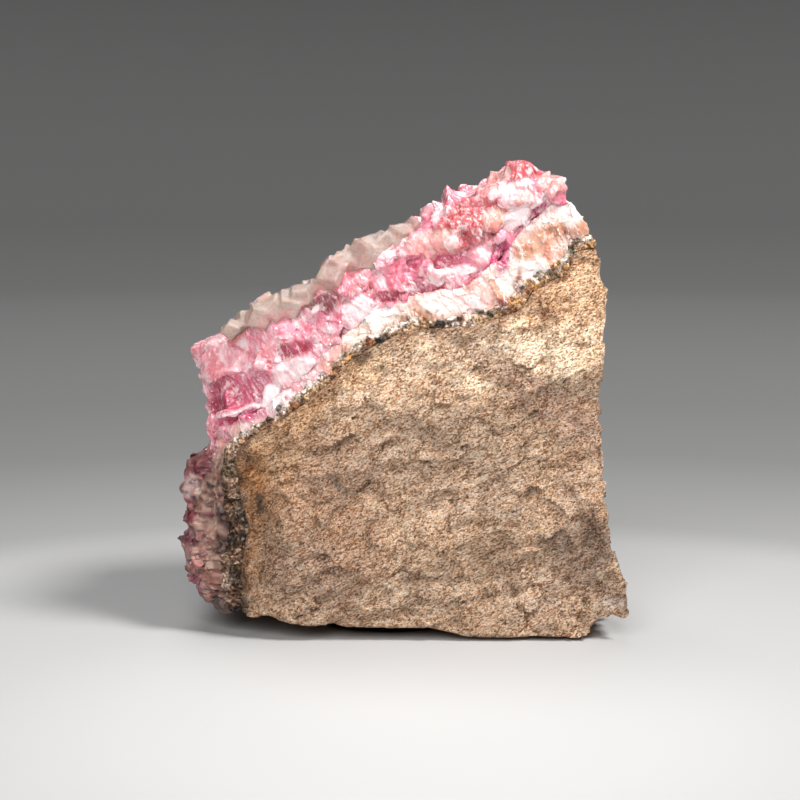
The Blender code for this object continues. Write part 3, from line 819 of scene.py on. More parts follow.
def facet_group(name):
    """Small flat faces leant at random: their height, a random value of each and the lines between them."""
    group, ins, outs = new_group(name, {"Vector": None, "Scale": 1000.0}, ["Height", "Random", "Edge"])
    nodes = Nodes(group)
    cells = nodes.add("TexVoronoi", Vector=ins["Vector"], Scale=ins["Scale"])
    away = nodes.vector("SUBTRACT", ins["Vector"], cells["Position"])
    lean = nodes.vector("SUBTRACT", cells["Color"], (0.5, 0.5, 0.5))
    height = nodes.vector("DOT_PRODUCT", away, lean)
    nodes.put(outs["Height"], nodes.maths("MULTIPLY", height, ins["Scale"]))
    nodes.put(outs["Random"], nodes.add("SeparateColor", Color=cells["Color"])[0])
    border = nodes.add(
        "TexVoronoi", {"feature": "DISTANCE_TO_EDGE"}, Vector=ins["Vector"], Scale=ins["Scale"]
    )["Distance"]
    nodes.put(outs["Edge"], nodes.range(border, 0.0, 0.10, 1.0, 0.0))
    return group


def grain_group(name):
    """Sand grains of one size: how bright each is, how rare its kind, how warm it is and its round top."""
    outputs = ["Shade", "Kind", "Warmth", "Height"]
    group, ins, outs = new_group(name, {"Vector": None, "Scale": 2400.0}, outputs)
    nodes = Nodes(group)
    cells = nodes.add("TexVoronoi", Vector=ins["Vector"], Scale=ins["Scale"])
    parts = nodes.add("SeparateColor", Color=cells["Color"])
    for label, part in zip(("Shade", "Kind", "Warmth"), parts):
        nodes.put(outs[label], part)
    nodes.put(outs["Height"], nodes.maths("SUBTRACT", 1.0, cells["Distance"]))
    return group


def material_with_nodes(name):
    made = bpy.data.materials.new(name)
    made.use_nodes = True
    return made, Nodes(made.node_tree), made.node_tree.nodes["Principled BSDF"]


def sandstone_material(settings):
    """Salt-and-pepper grains over the stains that the mesh carries."""
    made, nodes, shader = material_with_nodes("sandstone")
    place, tint, size = nodes.place(), nodes.stored("tint"), settings.grain_size
    fabric = nodes.stretched(place, -30, (1.5, 1.0, 1.0))
    drawn = nodes.stretched(place, -25, (2.4, 1.0, 1.0))
    grains = nodes.group("sand grains", grain_group, Vector=fabric, Scale=1.5 / size)
    fine = nodes.noise(fabric, 1.3 / size, 3.0, 0.75)
    shade = nodes.total(
        nodes.range(fine, 0.0, 1.0, 0.10, 0.92),
        nodes.range(nodes.noise(fabric, 0.16 / size, 3.0, 0.7), 0.3, 0.7, -0.07, 0.07),
        nodes.range(grains["Shade"], 0.0, 1.0, -0.13, 0.13),
        nodes.range(nodes.noise(drawn, 0.45 / size, 2.0, 0.6), 0.3, 0.7, -0.05, 0.05),
    )
    bright = nodes.ramp(
        shade, (0.26, (0.22, 0.14, 0.10)), (0.41, (0.62, 0.51, 0.42)), (0.50, (1.0, 1.0, 1.0)),
        (0.60, (1.34, 1.48, 1.62)), (0.74, (1.60, 1.90, 2.20)),
    )
    colour = odd_grains(nodes, grains, nodes.mix(1.0, tint, bright, "MULTIPLY"))
    ridges = nodes.noise(drawn, 0.55 / size, 3.0, 0.65)
    height = nodes.total(
        nodes.maths("MULTIPLY", grains["Height"], 0.3), fine, nodes.maths("MULTIPLY", ridges, 2.2)
    )
    nodes.bump(shader, height, settings.grain_bump, size)
    rough = nodes.range(grains["Kind"], 0.0, 1.0, 0.95, 0.6)
    nodes.fill(shader, Base_Color=colour, Roughness=rough, Specular_IOR_Level=0.3)
    return made


def odd_grains(nodes, grains, colour):
    """The colour with its warmer, greyer and dark grains."""
    warm = nodes.ramp(grains["Warmth"], (0.66, 0.0), (0.84, 0.5))
    colour = nodes.mix(warm, colour, nodes.mix(1.0, colour, (1.15, 0.84, 0.60, 1.0), "MULTIPLY"))
    grey = nodes.ramp(grains["Warmth"], (0.10, 0.55), (0.26, 0.0))
    colour = nodes.mix(grey, colour, nodes.mix(1.0, colour, (0.80, 0.88, 1.05, 1.0), "MULTIPLY"))
    dark = nodes.ramp(grains["Kind"], (0.962, 0.0), (0.970, 0.75))
    return nodes.mix(dark, colour, (0.045, 0.032, 0.025, 1.0))


def ore_material(settings):
    """Dark and rusty grains in the colours that the mesh carries, some of them smoother."""
    made, nodes, shader = material_with_nodes("ore")
    place, tint, size = nodes.place(), nodes.stored("tint"), settings.grain_size
    grains = nodes.group("sand grains", grain_group, Vector=place, Scale=0.8 / size)
    fine = nodes.noise(place, 0.7 / size, 3.0, 0.7)
    shade = nodes.total(fine, nodes.range(grains["Shade"], 0.0, 1.0, -0.12, 0.12))
    bright = nodes.ramp(shade, (0.30, 0.15), (0.45, 0.6), (0.58, 1.5), (0.74, 3.0))
    chalk = nodes.ramp(grains["Kind"], (0.90, 0.0), (0.93, 0.4))
    colour = nodes.mix(chalk, nodes.mix(1.0, tint, bright, "MULTIPLY"), (0.48, 0.35, 0.26, 1.0))
    height = nodes.total(nodes.maths("MULTIPLY", grains["Height"], 0.5), fine)
    nodes.bump(shader, height, settings.grain_bump, size)
    rough = nodes.range(grains["Warmth"], 0.0, 1.0, 0.9, 0.5)
    nodes.fill(shader, Base_Color=colour, Roughness=rough, Specular_IOR_Level=0.25)
    return made


def calcite_material(name, settings, veil_colour, gleam, glint_and_pit_strength):
    """Glassy and lit from within, with streaks along the crystals, white veils, faces that glint and white
    specks painted as glints.
    """
    made, nodes, shader = material_with_nodes(name)
    place, tint, frost = nodes.place(), nodes.stored("tint"), nodes.stored("frost", "Fac")
    stretched = nodes.stretched(place, -25, (1.0, 1.0, 2.0))
    wander = nodes.add("TexNoise", Vector=place, Scale=900.0, Detail=2.0)["Color"]
    bent = nodes.vector("ADD", stretched, nodes.vector("MULTIPLY", wander, (0.0008, 0.0008, 0.0008)))
    flakes = nodes.group("small facets", facet_group, Vector=bent, Scale=1 / settings.flake_size)
    crumbs = nodes.group("small facets", facet_group, Vector=place, Scale=3.2 / settings.flake_size)
    streaks = nodes.noise(nodes.stretched(place, -25, (1.0, 1.0, 6.0)), 1700.0, 2.0, 0.6)
    clouds = nodes.noise(stretched, 440.0, 5.0, 0.58, 0.8)
    veil = white_veils(nodes, settings, frost, clouds, flakes, streaks, nodes.noise(bent, 330.0, 3.0, 0.6))
    # White specks painted as glints, fewer where the calcite is clear.
    painted_glints = nodes.maths(
        "MULTIPLY", nodes.range(crumbs["Random"], 0.92, 0.96, 0.0, glint_and_pit_strength),
        nodes.range(frost, -0.65, -0.35, 0.15, 1.0),
    )
    pits = nodes.range(crumbs["Random"], 0.05, 0.09, glint_and_pit_strength, 0.0)
    depth = nodes.maths("MAXIMUM", clear_depths(nodes, settings, clouds, flakes, streaks), pits, clamp=True)
    deeper = nodes.mix(1.0, tint, (0.86, 0.0, 0.0, 1.0), "LIGHTEN")
    colour = nodes.mix(depth, tint, nodes.mix(1.0, tint, deeper, "MULTIPLY"))
    colour = nodes.mix(nodes.maths("MAXIMUM", veil, painted_glints, clamp=True), colour, (*veil_colour, 1.0))
    rough = nodes.total(
        nodes.range(veil, 0.0, 1.0, 0.16, 0.55),
        nodes.range(frost, 0.0, 1.0, 0.0, 0.2),
        nodes.range(frost, -0.75, -1.0, 0.0, 0.5),
    )
    height = nodes.total(
        flakes["Height"],
        nodes.maths("MULTIPLY", crumbs["Height"], 0.25),
        nodes.maths("MULTIPLY", streaks, 0.5),
    )
    nodes.bump(shader, height, settings.flake_bump, settings.flake_size * 0.5)
    nodes.fill(
        shader, Base_Color=colour, Roughness=rough, IOR=1.6, Subsurface_Weight=gleam,
        Subsurface_Radius=(1.0, 0.42, 0.45), Subsurface_Scale=settings.glow_depth, Coat_Weight=0.2,
        Coat_Roughness=0.12,
    )
    return made


def white_veils(nodes, settings, frost, clouds, flakes, streaks, tangle):
    """How white the veils in the calcite are, with the threads of a tangle and the flakes' edges."""
    thread = nodes.maths("ABSOLUTE", nodes.maths("SUBTRACT", tangle, 0.5))
    veil = nodes.total(
        clouds,
        nodes.range(frost, -1.0, 1.0, -0.30, 0.24),
        nodes.range(flakes["Random"], 0.0, 1.0, -0.07, 0.07),
        nodes.range(streaks, 0.35, 0.65, -0.09, 0.09),
        nodes.range(flakes["Edge"], 0.0, 1.0, 0.0, 0.09),
        nodes.range(thread, 0.0, 0.022, 0.16, 0.0),
    )
    return nodes.range(veil, 0.52, 0.76, 0.0, settings.veil)


def clear_depths(nodes, settings, clouds, flakes, streaks):
    """How deep the colour of the calcite's clear parts is."""
    depth = nodes.total(
        clouds,
        nodes.range(flakes["Random"], 0.0, 1.0, 0.10, -0.10),
        nodes.range(streaks, 0.35, 0.65, -0.05, 0.05),
    )
    return nodes.range(depth, 0.36, 0.56, settings.deep, 0.0)


def smoky_material(settings):
    """Clear calcite with a breath of brown smoke in it, and pale cracks."""
    made, nodes, shader = material_with_nodes("smoky_calcite")
    place = nodes.place()
    cloud = nodes.noise(place, 900.0, 5.0, 0.75)
    facets = nodes.group("small facets", facet_group, Vector=place, Scale=1 / settings.flake_size)
    smoke = nodes.ramp(cloud, (0.42, (0.94, 0.66, 0.52)), (0.57, (1.0, 0.93, 0.85)))
    cracks = nodes.maths("MULTIPLY", facets["Edge"], 0.5)
    height = nodes.total(facets["Height"], nodes.maths("MULTIPLY", cloud, 1.2))
    nodes.bump(shader, height, 0.55, settings.flake_size * 0.5)
    nodes.fill(
        shader, Base_Color=nodes.mix(cracks, smoke, (1.0, 0.96, 0.93, 1.0)),
        Roughness=nodes.range(cloud, 0.4, 0.65, 0.04, 0.25), IOR=1.5, Transmission_Weight=0.70,
        Subsurface_Weight=0.5, Subsurface_Radius=(1.0, 0.7, 0.6), Subsurface_Scale=settings.glow_depth,
        Coat_Weight=0.3, Coat_Roughness=0.05,
    )
    absorption = nodes.add("VolumeAbsorption", Color=(*settings.smoke_colour, 1.0), Density=settings.smoke)
    nodes.put(made.node_tree.nodes["Material Output"].inputs["Volume"], absorption["Volume"])
    return made


def ledge_height(places):
    """How far the ledges lift the sandstone's front."""
    total = np.zeros(len(places))
    wander = noise(places, 4, 71) * 1.2
    for x, z, length, turn, width, rise in STONE_LEDGES:
        along, across = from_middle(places, x, z, turn)
        below = -(across + wander)
        ends = smoothstep(1.2 - np.abs(along) / length)
        total += rise * MM * ends * smoothstep(below / 0.7 + 0.5) * smoothstep(1.5 - below / (width * 2.5))
    return total


def stone_tint(places, base_colour):
    """The sandstone's colour with its stains."""
    clouds = noise(places, 16, 61, 4)[:, None]
    colours = np.tile(np.array(base_colour), (len(places), 1)) * (1 + 0.16 * clouds)
    for index, (*patch, strength, colour) in enumerate(STONE_STAINS):
        colours = mixed(colours, colour, strength * patch_share(places, patch, 0.5, index))
    fabric = noise(turned(places, 34, 4.0), 2.6, 63, 3)
    return np.clip(colours * (1 + 0.14 * fabric[:, None]), 0.01, 0.95)


def stone_relief(points, relief):
    """The heights of the sandstone's broken lumps and pits."""
    fabric, lumps = noise(turned(points, 34, 2.4), 3.4, 11, 3), noise(points, 7, 13, 2)
    leant = turned(points, 20, 1.6)
    crags = Cells(leant + 0.4 * MM * np.stack([fabric, lumps, fabric], 1), 3.2, 15)
    pits = smoothstep((noise(points, 2.2, 17) - 0.45) / 0.4)
    swells = noise(turned(points, 30, 1.5), 12, 19, 2)
    height = 0.34 * fabric + 0.36 * lumps - 0.6 * pits + 0.5 * swells
    return relief * (height * MM + 0.9 * crags.facets(leant, 0.4, 0.16))


def base_lift(points):
    """How far the base's front edge is broken away, left of its middle, which leaves a dark gap."""
    x, y, z = (points / MM).T
    along, near = smoothstep(1.6 - np.abs(x + 5.0) / 12.0), smoothstep((-9.0 - y) / 4.0)
    return BASE_GAP * MM * along * near * smoothstep(1 - z / 9)


def stone_cracks(points):
    """From 0 to 1 on the few fine cracks that run with the sandstone's grain."""
    lines = np.abs(noise(turned(points, 18, 2.6), 6, 69, 2))
    return smoothstep(1 - lines / 0.06) * smoothstep(noise(points, 9, 73, 2) * 2.4 - 0.2)


def seam_stain(points, colours):
    """The stone's colours with its stains beside the seam: rusty, with dark grains, most on the left side."""
    x, _, z = (points / MM).T
    away = distance_to("ore_seam", points) / MM
    left = smoothstep((-24.0 - x) / 2.0) * smoothstep((36.0 - z) / 5.0)
    near = 1.1 - away / (2.2 + 1.6 * left) + 0.5 * noise(points, 2, 65, 3)
    colours = mixed(colours, ORE["rust"], smoothstep(near) * 0.6)
    beside = smoothstep(near + 0.5) * left
    speck = noise(points, 2.4, 67, 3)
    colours = mixed(colours, LEFT_KINDS["rust"], beside * smoothstep(speck * 2 + 0.4) * 0.5)
    colours = mixed(colours, ORE["black"], beside * smoothstep(-speck * 2.6 - 0.6) * 0.75)
    return mixed(colours, ORE["black"], smoothstep(near) * smoothstep(speck * 2.6 - 0.9) * 0.7)


def make_sandstone(settings):
    mesh = evenly_faced(merged_copy("sandstone_matrix"), "sandstone", settings.face_size)
    points, normals = points_and_normals(mesh)
    shifted = wavered(points)
    seen, cracks = as_seen(shifted), stone_cracks(points)
    front = smoothstep(-normals[:, 1] * 1.6)
    free = smoothstep(distance_to("ore_seam", points) / (3 * MM)) * 0.85 + 0.15
    free *= smoothstep(points[:, 2] / (2.4 * MM)) * 0.9 + 0.02
    height = stone_relief(points, settings.relief) + ledge_height(seen) * front - 0.35 * MM * cracks
    lifted = shifted + normals * (height * free)[:, None]
    lifted[:, 2] += base_lift(points)
    put_points(mesh, lifted)
    colours = stone_tint(seen, settings.base_colour) * (1 - 0.45 * cracks)[:, None]
    put_colours(mesh, seam_stain(points, colours))
    piece = finished(mesh, "sandstone_block", sandstone_material(settings), 60)
    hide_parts("sandstone_matrix")


def seam_colours(points):
    """Sandy and rusty between the named patches, with dark grains broken up along its middle."""
    stone, calcite = distance_to("sandstone_matrix", points), distance_to("pale_calcite_band", points)
    across = stone / (stone + calcite) + 0.3 * noise(points, 1.6, 25, 3)
    left = on_the_left(points)
    right = smoothstep((points[:, 0] / MM - 14.0) / 4.0)
    colours = np.tile(np.array(ORE["sand"]), (len(points), 1))
    colours = mixed(colours, ORE["rust"], smoothstep(noise(points, 3, 27, 3) * 2 - 0.1 + left))
    colours = mixed(colours, ORE["chalk"], smoothstep((across - 0.5) / 0.3) * (1 - 0.7 * left))
    torn = as_seen(ragged(wavered(points), 2, 0.6, 131))
    for kind, share in patches_on(torn, ORE_PATCHES, 0.7, 120, 0.8):
        colours = mixed(colours, ORE[kind], share * 0.9)
    rusty = smoothstep(noise(points, 2.4, 30, 3) * 2 - 0.1)
    colours = mixed(colours, ORE["orange"], right * rusty * 0.7)
    pale = smoothstep(noise(points, 2, 32, 3) * 2.4 + 0.2) * smoothstep((across - 0.3) / 0.3)
    colours = mixed(colours, ORE["chalk"], right * pale * 0.8)
    broken_up = smoothstep(noise(points, 4, 26, 3) * 2.4 - 0.2 + 0.7 * left)
    thread = smoothstep(1.3 - np.abs(across - 0.5) / 0.2) * broken_up
    colours = mixed(colours, ORE["black"], thread * (0.85 - 0.4 * right))
    # Painted shade darkens the ore further on the shaded left side.
    colours = left_colours_with_painted_shade(points, colours) * (1 - left[:, None] * np.array(LEFT_PAINTED_SHADE))
    speck = noise(points, 1.2, 29, 2)
    colours = mixed(colours, ORE["chalk"], smoothstep(speck * 2.4 - 1.3) * 0.7 * (1 - 0.7 * left))
    return mixed(colours, ORE["black"], smoothstep(-speck * 2.4 - 1.1) * 0.8)


def make_seam(settings):
    mesh, points, normals = layer_mesh("ore_seam", "seam", settings.layer_face)
    left, grains = on_the_left(points), Cells(points, 1.3, 23)
    height = 0.02 * MM + 0.18 * MM * noise(points, 2, 21, 3) + grains.facets(points, 0.3, 0.06)
    height += 0.9 * MM * left * left_relief(points)
    put_points(mesh, swollen(points, normals, height, (0.5 + 0.5 * left) * MM))
    put_colours(mesh, seam_colours(points))
    piece = finished(mesh, "ore_seam_grains", ore_material(settings), 50)
    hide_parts("ore_seam")


def band_colours(points, chunks):
    """The pale band's colours, and where it is frosted white."""
    cloud = noise(points, 4, 35, 3)
    colours = mixed(kinds_of(chunks, BAND_MIX), CALCITE["cream"], smoothstep(cloud + 0.5) * 0.5)
    frost = (chunks.values[:, 0] > 0.7) * 0.4
    low = smoothstep(1 - distance_to("ore_seam", points) / (1.8 * MM) + 0.5 * noise(points, 2, 36, 2))
    colours = mixed(colours, CALCITE["tan"], low * 0.6)
    high = smoothstep(1 - distance_to("pink_calcite_crust", points) / (2.2 * MM) + 0.6 * cloud)
    colours = mixed(colours, CALCITE["pale"], high * 0.5)
    torn = as_seen(ragged(wavered(points), 2, 0.5, 151))
    for kind, share in patches_on(torn, BAND_PATCHES, 0.35, 80):
        colours = mixed(colours, CALCITE[kind], share * 0.85)
        frost = frost * (1 - share) + share * (kind == "white")
    speck = smoothstep(noise(points, 1.3, 34, 2) * 2.6 - 1.5) * smoothstep(low * 3)
    return mixed(colours, ORE["black"], speck * 0.8), frost * (1 - speck)


def make_band(settings):
    mesh, points, normals = layer_mesh("pale_calcite_band", "band", settings.layer_face)
    leant, left = turned(points, 115, 1.3), on_the_left(points)
    chunks, chips = Cells(leant, 3.6, 31), Cells(points, 1.4, 33)
    height = 0.05 * MM + 0.5 * chunks.facets(leant, 0.35, 0.2) * (1 - left)
    height += chips.facets(points, 0.25, 0.06) + 0.18 * MM * noise(points, 2.4, 37, 3)
    height += left * 0.9 * MM * left_relief(points)
    put_points(mesh, swollen(points, normals, height, (0.35 + 1.3 * left) * MM))
    colours, frost = band_colours(points, chunks)
    put_colours(mesh, smoothed(mesh, left_colours_with_painted_shade(points, colours), 1))
    put_frost(mesh, smoothed(mesh, frost * (1 - left) - left, 1))
    material = calcite_material("pale_calcite", settings, settings.band_veil, 0.45, 0.12)
    piece = finished(mesh, "pale_band", material, 30)
    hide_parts("pale_calcite_band")


def left_colours_with_painted_shade(points, colours):
    """The shaded left side, where ore and calcite are mixed: grey and brown lumps, rims and dark cracks,
    with painted shade darkening them.
    """
    cloud, crinkles = noise(points, 3, 39, 3), noise(points, 1.3, 177, 2)
    # The layers' own colours at 0.4 of their brightness, as painted shade.
    mass = mixed(colours * 0.4, LEFT_KINDS["ash"], smoothstep(cloud + 1.2) * 0.95)
    mass = mixed(mass, LEFT_KINDS["rim"], smoothstep(1 - np.abs(crinkles) / 0.18) * 0.9)
    mass = mixed(mass, LEFT_KINDS["pit"], smoothstep(crinkles * 3 - 0.8) * 0.95)
    seen = as_seen(ragged(wavered(points), 1.6, 0.5, 171))
    for kind, share in patches_on(seen, LEFT_PATCHES, 0.5, 200):
        mass = mixed(mass, LEFT_KINDS[kind], share * (0.95 if kind in LEFT_CLEAR_KINDS else 0.75))
    lines = np.abs(noise(points, 2.6, 173, 3))
    mass = mixed(mass, LEFT_KINDS["rim"], smoothstep(1 - np.abs(lines - 0.34) / 0.10) * 0.55)
    mass = mixed(mass, ORE["black"], smoothstep(1 - lines / 0.13) * 0.8)
    pocket = smoothstep(noise(points, 3.4, 137, 2) * 2.6 - 1.1)
    return mixed(colours, mixed(mass, ORE["black"], pocket * 0.85), on_the_left(points))


def left_relief(points):
    """The lumps, thin walls and cracks of the shaded left side, from about -1 to 1."""
    lines = np.abs(noise(points, 2.6, 173, 3))
    lumps = domes(ragged(points, 2, 0.9, 141), 2.8, 38)
    walls = 0.3 - 0.8 * np.abs(noise(points, 1.3, 177, 2))
    return 0.35 * (lumps - 0.4) - 0.6 * smoothstep(1 - lines / 0.16) + walls


def worn_left(mesh, points, normals):
    """The crust's outside low on the left, worn smooth and standing out a little more."""
    x, _, z = (points / MM).T
    worn = smoothstep((-33.0 - x) / 3.0) * smoothstep((47.0 - z) / 6.0)
    calm = mixed(points, smoothed(mesh, points, 24), worn)
    calm[:, 0] += on_the_left(points) * smoothstep((z - 4.0) / 6.0) * (normals[:, 0] + 0.2) * MM
    return calm


def crust_places(mesh, points, normals):
    """How deep each point lies, how much it faces forwards, and its share of the broken faces and front."""
    depth, back_depth = section_depths("pink_calcite_crust", points)
    facing = smoothstep(np.abs(smoothed(mesh, normals[:, 1], 4)) * 1.8 - 0.25)
    broken = smoothstep(1.4 - np.minimum(depth, back_depth) / (3 * MM)) * facing
    front = smoothstep(1.4 - depth / (4 * MM)) * smoothstep(1.5 - points[:, 1] / (5 * MM))
    return depth, facing, broken, front


def crust_colours(points, rise, chunks):
    """The crust's colours: paler and deeper pink crystals, and magenta along part of the foot."""
    value = 0.5 + 0.42 * noise(points, 4.5, 51, 3) + 0.34 * (chunks.values[:, 4] - 0.5)
    wave = noise(points, 5, 53, 3)
    foot = smoothstep(1.3 - (rise / MM + wave * 0.8) / 1.2)
    right = smoothstep((points[:, 0] / MM + 4.0) / 4.0)
    whitish = foot * (1 - right) * smoothstep(0.6 + wave) * 0.8
    colours = mixed(blended_kinds(value, CRUST_MIX), CALCITE["frost"], whitish)
    return mixed(colours, CALCITE["magenta"], foot * right * smoothstep(0.6 + 0.9 * wave))


def in_crystal(places, depth, x, z, length, width, turn):
    """From 0 in the middle of a crystal to 1 at its edge and more outside, and how far along and across."""
    along, across = from_middle(places, x, z, turn)
    along, across = along / length, across / width
    deep = np.maximum(depth, 0.0) / (2 * max(length, width) * MM)
    return (np.abs(along) ** 3 + np.abs(across) ** 3 + deep ** 3) ** (1 / 3), along, across


def set_crystals(places, depth, front, broken, height, colours, frost):
    """Sets the named crystals into the crust's section: its heights, colours and frost with them."""
    for x, z, length, width, turn, stand, kind in CRUST_CRYSTALS:
        inside, along, across = in_crystal(places, depth, x, z, length, width, turn)
        share = smoothstep((1.2 - inside) / 0.36) * front
        face = stand * MM * (1.0 - 0.35 * along - 0.25 * across)
        height = height * (1 - 0.85 * share) + share * face * (0.3 + 0.7 * broken)
        deepening = 0.32 * smoothstep(0.5 - 0.4 * along - 0.3 * across)
        inner = np.array(CALCITE[kind]) * (1 - deepening[:, None] * np.array([0.15, 1.0, 0.9]))
        colours = mixed(colours, inner, share * 0.9)
        frost = frost * (1 - share) + share * VEILED.get(kind, OTHERS_VEILED)
    return height, colours, frost


def make_crust(settings):
    """The pink crust: broken crystals with flakes and steps, and the named crystals set into them."""
    mesh, points, normals = layer_mesh("pink_calcite_crust", "crust", settings.crust_face)
    depth, facing, broken, front = crust_places(mesh, points, normals)
    base, left = wavered(worn_left(mesh, points, normals)), on_the_left(points)
    rise = distance_to("pale_calcite_band", points)
    leant, long = turned(points, 112, 1.7), turned(points, 112, 1.5)
    chunks, flakes, chips = Cells(leant, 3.5, 41), Cells(long, 1.7, 45), Cells(points, 0.8, 43)
    height = chunks.facets(leant, 0.36, 0.24) + flakes.facets(long, 0.24, 0.05)
    height = (height + 0.10 * MM * chunks.steps(leant, 1.2)) * (0.15 + 0.85 * broken)
    height += 0.45 * MM * smoothstep(1.5 - rise / (0.6 * MM)) * (1 - facing)
    height += left * facing * 0.7 * MM * left_relief(points)
    frost = smoothstep((chunks.values[:, 1] - 0.70) * 8) * 0.8
    frost = np.maximum(frost, smoothstep((flakes.values[:, 1] - 0.82) * 8) * 0.8 * broken)
    colours = crust_colours(points, rise, chunks)
    torn = as_seen(ragged(base, 2, 0.4, 161))
    height, colours, frost = set_crystals(torn, depth, front, broken, height, colours, frost)
    joint = smoothstep(1 - chunks.border / (0.30 * MM)) * broken
    frost = np.maximum(frost, 0.5 * joint * (chunks.values[:, 2] > 0.55))
    colours = mixed(colours, CALCITE["raspberry"], 0.30 * joint * (chunks.values[:, 2] <= 0.40))
    colours = mixed(colours, CALCITE["haze"], 0.8 * smoky_zone(points, normals) * (1 - broken))
    fine = chips.facets(points, 0.18, 0.02) * (0.1 + 0.9 * broken)
    put_points(mesh, base + normals * (height + fine)[:, None])
    put_colours(mesh, smoothed(mesh, left_colours_with_painted_shade(points, colours), 1))
    put_frost(mesh, smoothed(mesh, frost * (1 - left) - left, 1))
    material = calcite_material("pink_calcite", settings, settings.crust_veil, 0.55, 0.22)
    piece = finished(mesh, "pink_crust", material, 32)
    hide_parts("pink_calcite_crust")


def smoky_zone(points, normals):
    """From 0 to 1 where the crust's outside carries the smoky crystals."""
    x = points[:, 0] / MM
    outside = smoothstep((normals @ np.array(GROWTH) - 0.1) / 0.4)
    return outside * smoothstep((x + 31.0) / 3.0) * smoothstep((1.0 - x) / 3.0)


def rhomb_matrix(place, way, spin, edge, stretch):
    """Places a cube stood on its corner along that way, stretched along its upright diagonal."""
    upright = Vector((1, 1, 1)).rotation_difference(Vector((0, 0, 1))).to_matrix().to_4x4()
    aimed = Vector((0, 0, 1)).rotation_difference(way).to_matrix().to_4x4()
    sized = Matrix.Diagonal((edge, edge, edge * stretch, 1)) @ Matrix.Rotation(spin, 4, "Z")
    return Matrix.Translation(place) @ aimed @ sized @ upright


def add_rhomb(bm, tip, way, spin, edge, stretch):
    """Adds a rhomb whose outer tip is at that place."""
    middle = tip - way * edge * stretch * math.sqrt(3) / 2
    bmesh.ops.create_cube(bm, size=1.0, matrix=rhomb_matrix(middle, way, spin, edge, stretch))


def leant_growth(source, lean):
    """The way the crystals grow, leant at random."""
    return (GROWTH + Vector([source.uniform(-lean, lean) for _ in range(3)])).normalized()


def add_smoky_rows(bm, source):
    """Two rows of crystals along the crust's front edge."""
    for x, z, edge in SMOKY_ROW:
        for row in range(2):
            y = FRONT_Y + (4.0 + 3.0 * row + source.uniform(-0.8, 0.8)) * MM
            way = leant_growth(source, 0.45)
            tip = from_view(x, z, y) + GROWTH * (0.4 - row * source.uniform(0.3, 1.0)) * MM
            add_rhomb(bm, tip, way, source.uniform(0, math.tau), 1.25 * edge * MM, source.uniform(0.8, 1.0))


def add_smoky_scatter(bm, source):
    """More crystals behind the rows, where a look down the slope meets the crust."""
    tree = tree_of("pink_calcite_crust")
    low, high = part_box("pink_calcite_crust")
    for _ in range(SMOKY_SCATTER):
        x, y = source.uniform(low.x + 8 * MM, 2 * MM), source.uniform(low.y + 10 * MM, high.y - 3 * MM)
        hit = tree.ray_cast(Vector((x, y, high.z + 20 * MM)), Vector((0.3, 0, -1)).normalized())[0]
        edge = source.uniform(2.0, 4.2) * MM
        way = leant_growth(source, 0.4)
        spin, stretch = source.uniform(0, math.tau), source.uniform(0.8, 1.05)
        if hit is not None:
            add_rhomb(bm, hit + way * edge * 0.4, way, spin, edge, stretch)


def make_smoky(settings):
    """Smoky crystals on the crust's outside, joined in one skin."""
    source = random.Random(settings.seed)
    bm = bmesh.new()
    add_smoky_rows(bm, source)
    add_smoky_scatter(bm, source)
    mesh = evenly_faced(bm, "smoky", settings.smoky_face)
    put_points(mesh, smoothed(mesh, points_and_normals(mesh)[0], 1))
    finished(mesh, "smoky_crystals", smoky_material(settings), 35)


def make_camera():
    forwards, _ = view_axes()
    data = bpy.data.cameras.new("camera")
    data.lens = 100.0
    data.sensor_width = 36.0
    data.clip_start, data.clip_end = 0.01, 20.0
    camera = linked(data, "camera")
    camera.location = CAMERA_TARGET - forwards * CAMERA_DISTANCE
    camera.rotation_euler = forwards.to_track_quat("-Z", "Y").to_euler()
    bpy.context.scene.camera = camera


def make_light(name, place, power, size, colour=(1.0, 1.0, 1.0)):
    """A round soft light that is aimed at the specimen."""
    data = bpy.data.lights.new(name, "AREA")
    data.shape = "DISK"
    data.energy, data.size, data.color = power, size, colour
    light = linked(data, name)
    light.location = place
    light.rotation_euler = (LIGHTS_TARGET - Vector(place)).to_track_quat("-Z", "Y").to_euler()


def floor_material():
    """Pale paper with a painted pool of light, palest where the specimen stands and darker all round, and a
    painted shadow in the gap under the base.
    """
    made, nodes, shader = material_with_nodes("paper")
    place = nodes.place()
    # The painted pool of light, by distance from a spot in front of the specimen.
    away = nodes.vector("LENGTH", nodes.vector("ADD", place, (0.0, 0.07, 0.0)))
    stops = [(distance / PAPER_REACH, shade) for distance, shade in PAPER_PAINTED_LIGHT]
    grey = nodes.ramp(nodes.maths("DIVIDE", away, PAPER_REACH), *stops)
    # A painted shadow on the paper in the gap under the base.
    under = nodes.vector("MULTIPLY", nodes.vector("SUBTRACT", place, PAINTED_SHADOW_MIDDLE), PAINTED_SHADOW_REACH)
    shade = nodes.ramp(nodes.vector("LENGTH", under), (0.80, 0.02), (1.0, 1.0))
    colour, rough = nodes.mix(1.0, grey, shade, "MULTIPLY"), nodes.range(away, 0.0, 1.0, 0.6, 0.9)
    nodes.fill(shader, Base_Color=colour, Roughness=rough, Specular_IOR_Level=0.2)
    return made


def make_paper():
    """A pale round floor that sweeps up into a grey wall far behind."""
    bm = bmesh.new()
    verts = [bm.verts.new((x, 0.0, z)) for x, z in PAPER_PROFILE]
    edges = [bm.edges.new(pair) for pair in zip(verts, verts[1:])]
    bmesh.ops.spin(
        bm, geom=verts + edges, cent=(0, 0, 0), axis=(0, 0, 1), angle=math.tau, steps=96, use_merge=True
    )
    bmesh.ops.remove_doubles(bm, verts=bm.verts, dist=1e-5)
    bmesh.ops.recalc_face_normals(bm, faces=bm.faces)
    stage = object_from(bm, "paper_stage")
    stage.data.materials.append(floor_material())
    stage.data.shade_smooth()


